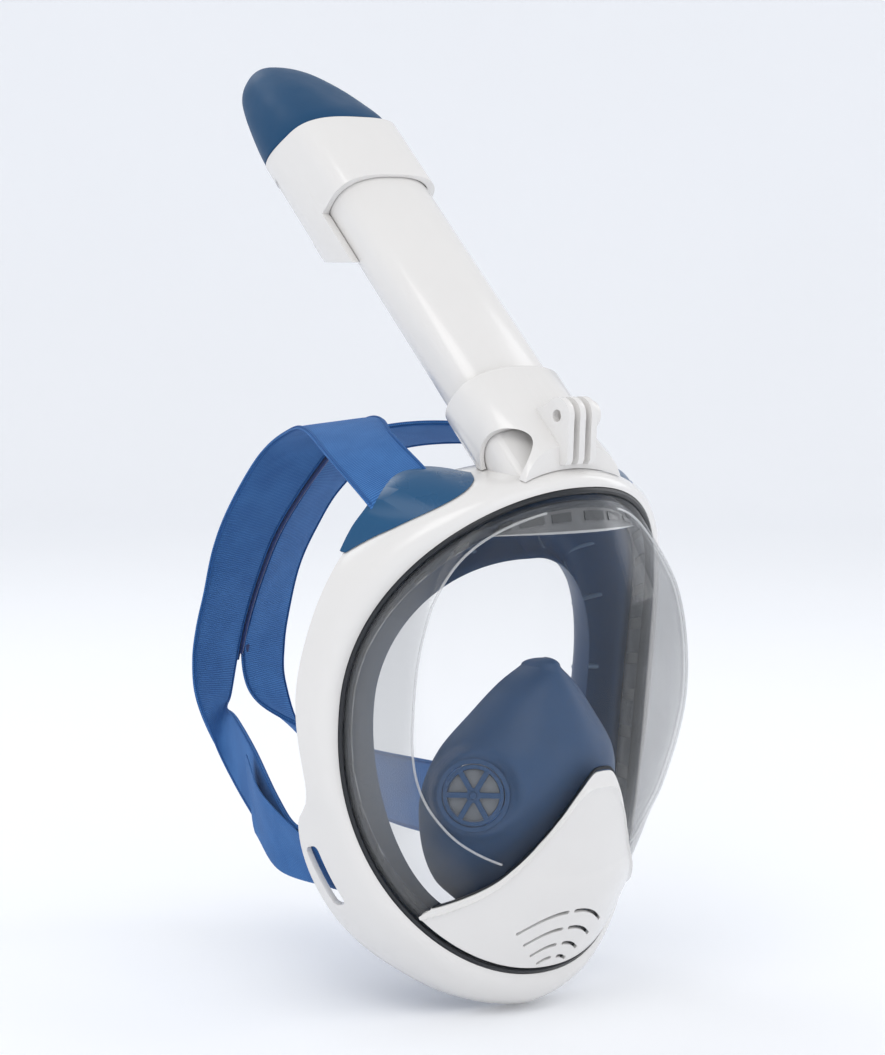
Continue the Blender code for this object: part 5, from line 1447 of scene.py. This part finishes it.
def rear_cover(width, height):
    """A vented panel that closes the window in the dry top's back."""
    levels = (REAR_WINDOW_H - 0.03, REAR_WINDOW_H + 0.03)
    outer, inner = [[top_loop(*grown(TOP, -inset), h) for h in levels] for inset in (GAP, TOP_WALL)]
    panel = place("drytop_rear_panel", sleeve(outer, inner), tube_matrix())
    keep = block((width - 2 * GAP, 0.019, height - 2 * GAP), (0, TOP[2], REAR_WINDOW_H))
    boolean(panel, place("rear_cover_keep", keep, tube_matrix()), "INTERSECT")
    for number in range(REAR_VENTS):
        level = REAR_WINDOW_H + (number - REAR_VENTS // 2) * REAR_VENT_PITCH
        slot = block((width * 0.62, 0.030, REAR_VENT_WIDTH), (0, TOP[2], level))
        boolean(panel, place(f"rear_vent_{number}", slot, tube_matrix()))
    finish(soften(panel, 0.0005, 2, 50), "white", "snorkel", ["drytop_rear_cover"])


def cap_loops(inset, steps=40):
    """The cap's levels, with smooth ones added between those that shape it."""
    tables = [[(row[0], row[k]) for row in CAP_LEVELS] for k in (1, 2, 3)]
    top = CAP_LEVELS[-1][0]
    loops = []
    for share in spread(0, 1, steps):
        rise = top * math.sin(share * math.pi / 2)
        width, front, back = [through(values, rise) for values in tables]
        slope = JOINT_RISE * (1 - rise / top)
        loops.append(cap_loop(TOP[0] * width - inset, front - inset, back - inset,
                              JOINT_H + GAP + rise - (inset if rise else 0), slope))
    return loops


def cap():
    outer = cap_loops(0.0)
    inner = cap_loops(TOP_WALL)[:-4]
    shell = place("drytop_blue_cap", skin(inner[::-1] + outer), tube_matrix())
    finish(soften(shell, 0.0005, 2, 60), "blue_satin", "snorkel", ["drytop_cap"], sharp=60)


# ---- Pieces that keep their CAD shape ----
def carried_over():
    looks = {"lower_strap_bar_left": "white", "lower_strap_bar_right": "white", "neck_seal": "black",
             "camera_mount_nut": "steel", "exhale_valve_plate": "white",
             "exhale_valve_flap_left": "valve_grey", "exhale_valve_flap_right": "valve_grey",
             "drytop_float": "blue_satin", "float_seal": "black", "float_valve_seat": "white",
             "float_cage": "white"}
    for name, look in looks.items():
        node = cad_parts[name]
        node.data.materials.clear()
        node.data.materials.append(material_of(look))


# ---- Stage, light and camera ----
def stage():
    """A pale round floor that curves up into a low wall, seen the same from every side."""
    profile = [(reach, 0.0) for reach in FLOOR_RINGS]
    for turn in spread(0.15, math.pi / 2, 10):
        profile.append((FLOOR_RINGS[-1] + CURVE_UP * math.sin(turn), CURVE_UP - CURVE_UP * math.cos(turn)))
    profile.append(WALL_TOP)
    floor = CAD_BOX[0][2] - FLOOR_BELOW
    rows = [[Vector((r * math.cos(a), r * math.sin(a), floor + z)) for a in turns(96)] for r, z in profile]
    rows.insert(0, [Vector((0, 0, floor))])
    bowl = place("floor", surface(rows, closed=True, towards=Vector((0, 0, 1))))
    graph = Graph("backdrop")
    graph.feed("Base Color", graph.blend(graph.noise(3.0, 2.0), (0.845, 0.858, 0.882), (0.862, 0.876, 0.902)))
    graph.feed("Roughness", graph.ranged(graph.noise(6.0, 2.0), 0.80, 0.92))
    graph.set(Specular_IOR_Level=0.1, Emission_Color=(0.96, 0.975, 1.0, 1), Emission_Strength=0.10)
    bowl.data.materials.append(graph.material)
    bowl.data.shade_smooth()


def lamp(name, place_at, aim, size, power, colour=(1, 1, 1)):
    data = bpy.data.lights.new(name, "AREA")
    data.shape = "RECTANGLE"
    data.size, data.size_y = size
    data.energy = power
    data.color = colour
    obj = bpy.data.objects.new(name, data)
    bpy.context.scene.collection.objects.link(obj)
    obj.location = place_at
    obj.rotation_euler = (Vector(aim) - Vector(place_at)).to_track_quat("-Z", "Y").to_euler()


def lights():
    world = bpy.data.worlds.new("studio")
    world.use_nodes = True
    background = world.node_tree.nodes["Background"]
    background.inputs["Color"].default_value = (0.965, 0.975, 1.0, 1)
    background.inputs["Strength"].default_value = 0.82
    bpy.context.scene.world = world
    aim = (0, 0, 0.08)
    lamp("key", (-1.15, -0.55, 1.35), aim, (0.9, 0.9), 6.5, (1.0, 0.985, 0.96))
    lamp("front", (-0.15, -1.55, 0.55), aim, (0.9, 1.2), 2.6)
    lamp("far_side", (1.35, -0.35, 0.70), aim, (0.5, 1.3), 3.6, (0.97, 0.98, 1.0))
    lamp("behind", (-0.2, 1.3, 1.25), aim, (1.4, 0.6), 5.0, (0.97, 0.99, 1.0))


def camera():
    turn, rise = math.radians(CAMERA_TURN), math.radians(CAMERA_RISE)
    target = Vector((0, CAMERA_AIM_Y, CAMERA_AIM_Z))
    back = Vector((-math.sin(turn) * math.cos(rise), -math.cos(turn) * math.cos(rise), math.sin(rise)))
    data = bpy.data.cameras.new("camera")
    data.lens = CAMERA_LENS
    data.sensor_width = 36.0
    data.clip_start, data.clip_end = 0.01, 20.0
    obj = bpy.data.objects.new("camera", data)
    bpy.context.scene.collection.objects.link(obj)
    obj.matrix_world = facing(target + back * CAMERA_DISTANCE, back)
    bpy.context.scene.camera = obj


def main():
    camera()
    lights()
    stage()
    main_frame()
    lens()
    gasket()
    inner_frame()
    duct_panel()
    chin_cover()
    purge_valve()
    nose_pocket()
    face_skirt()
    for side, word in ((1, "left"), (-1, "right")):
        upper_clip(side, word)
    strap()
    collar()
    tube()
    dry_top()
    carried_over()
    bpy.context.scene.view_settings.view_transform = "Standard"


main()
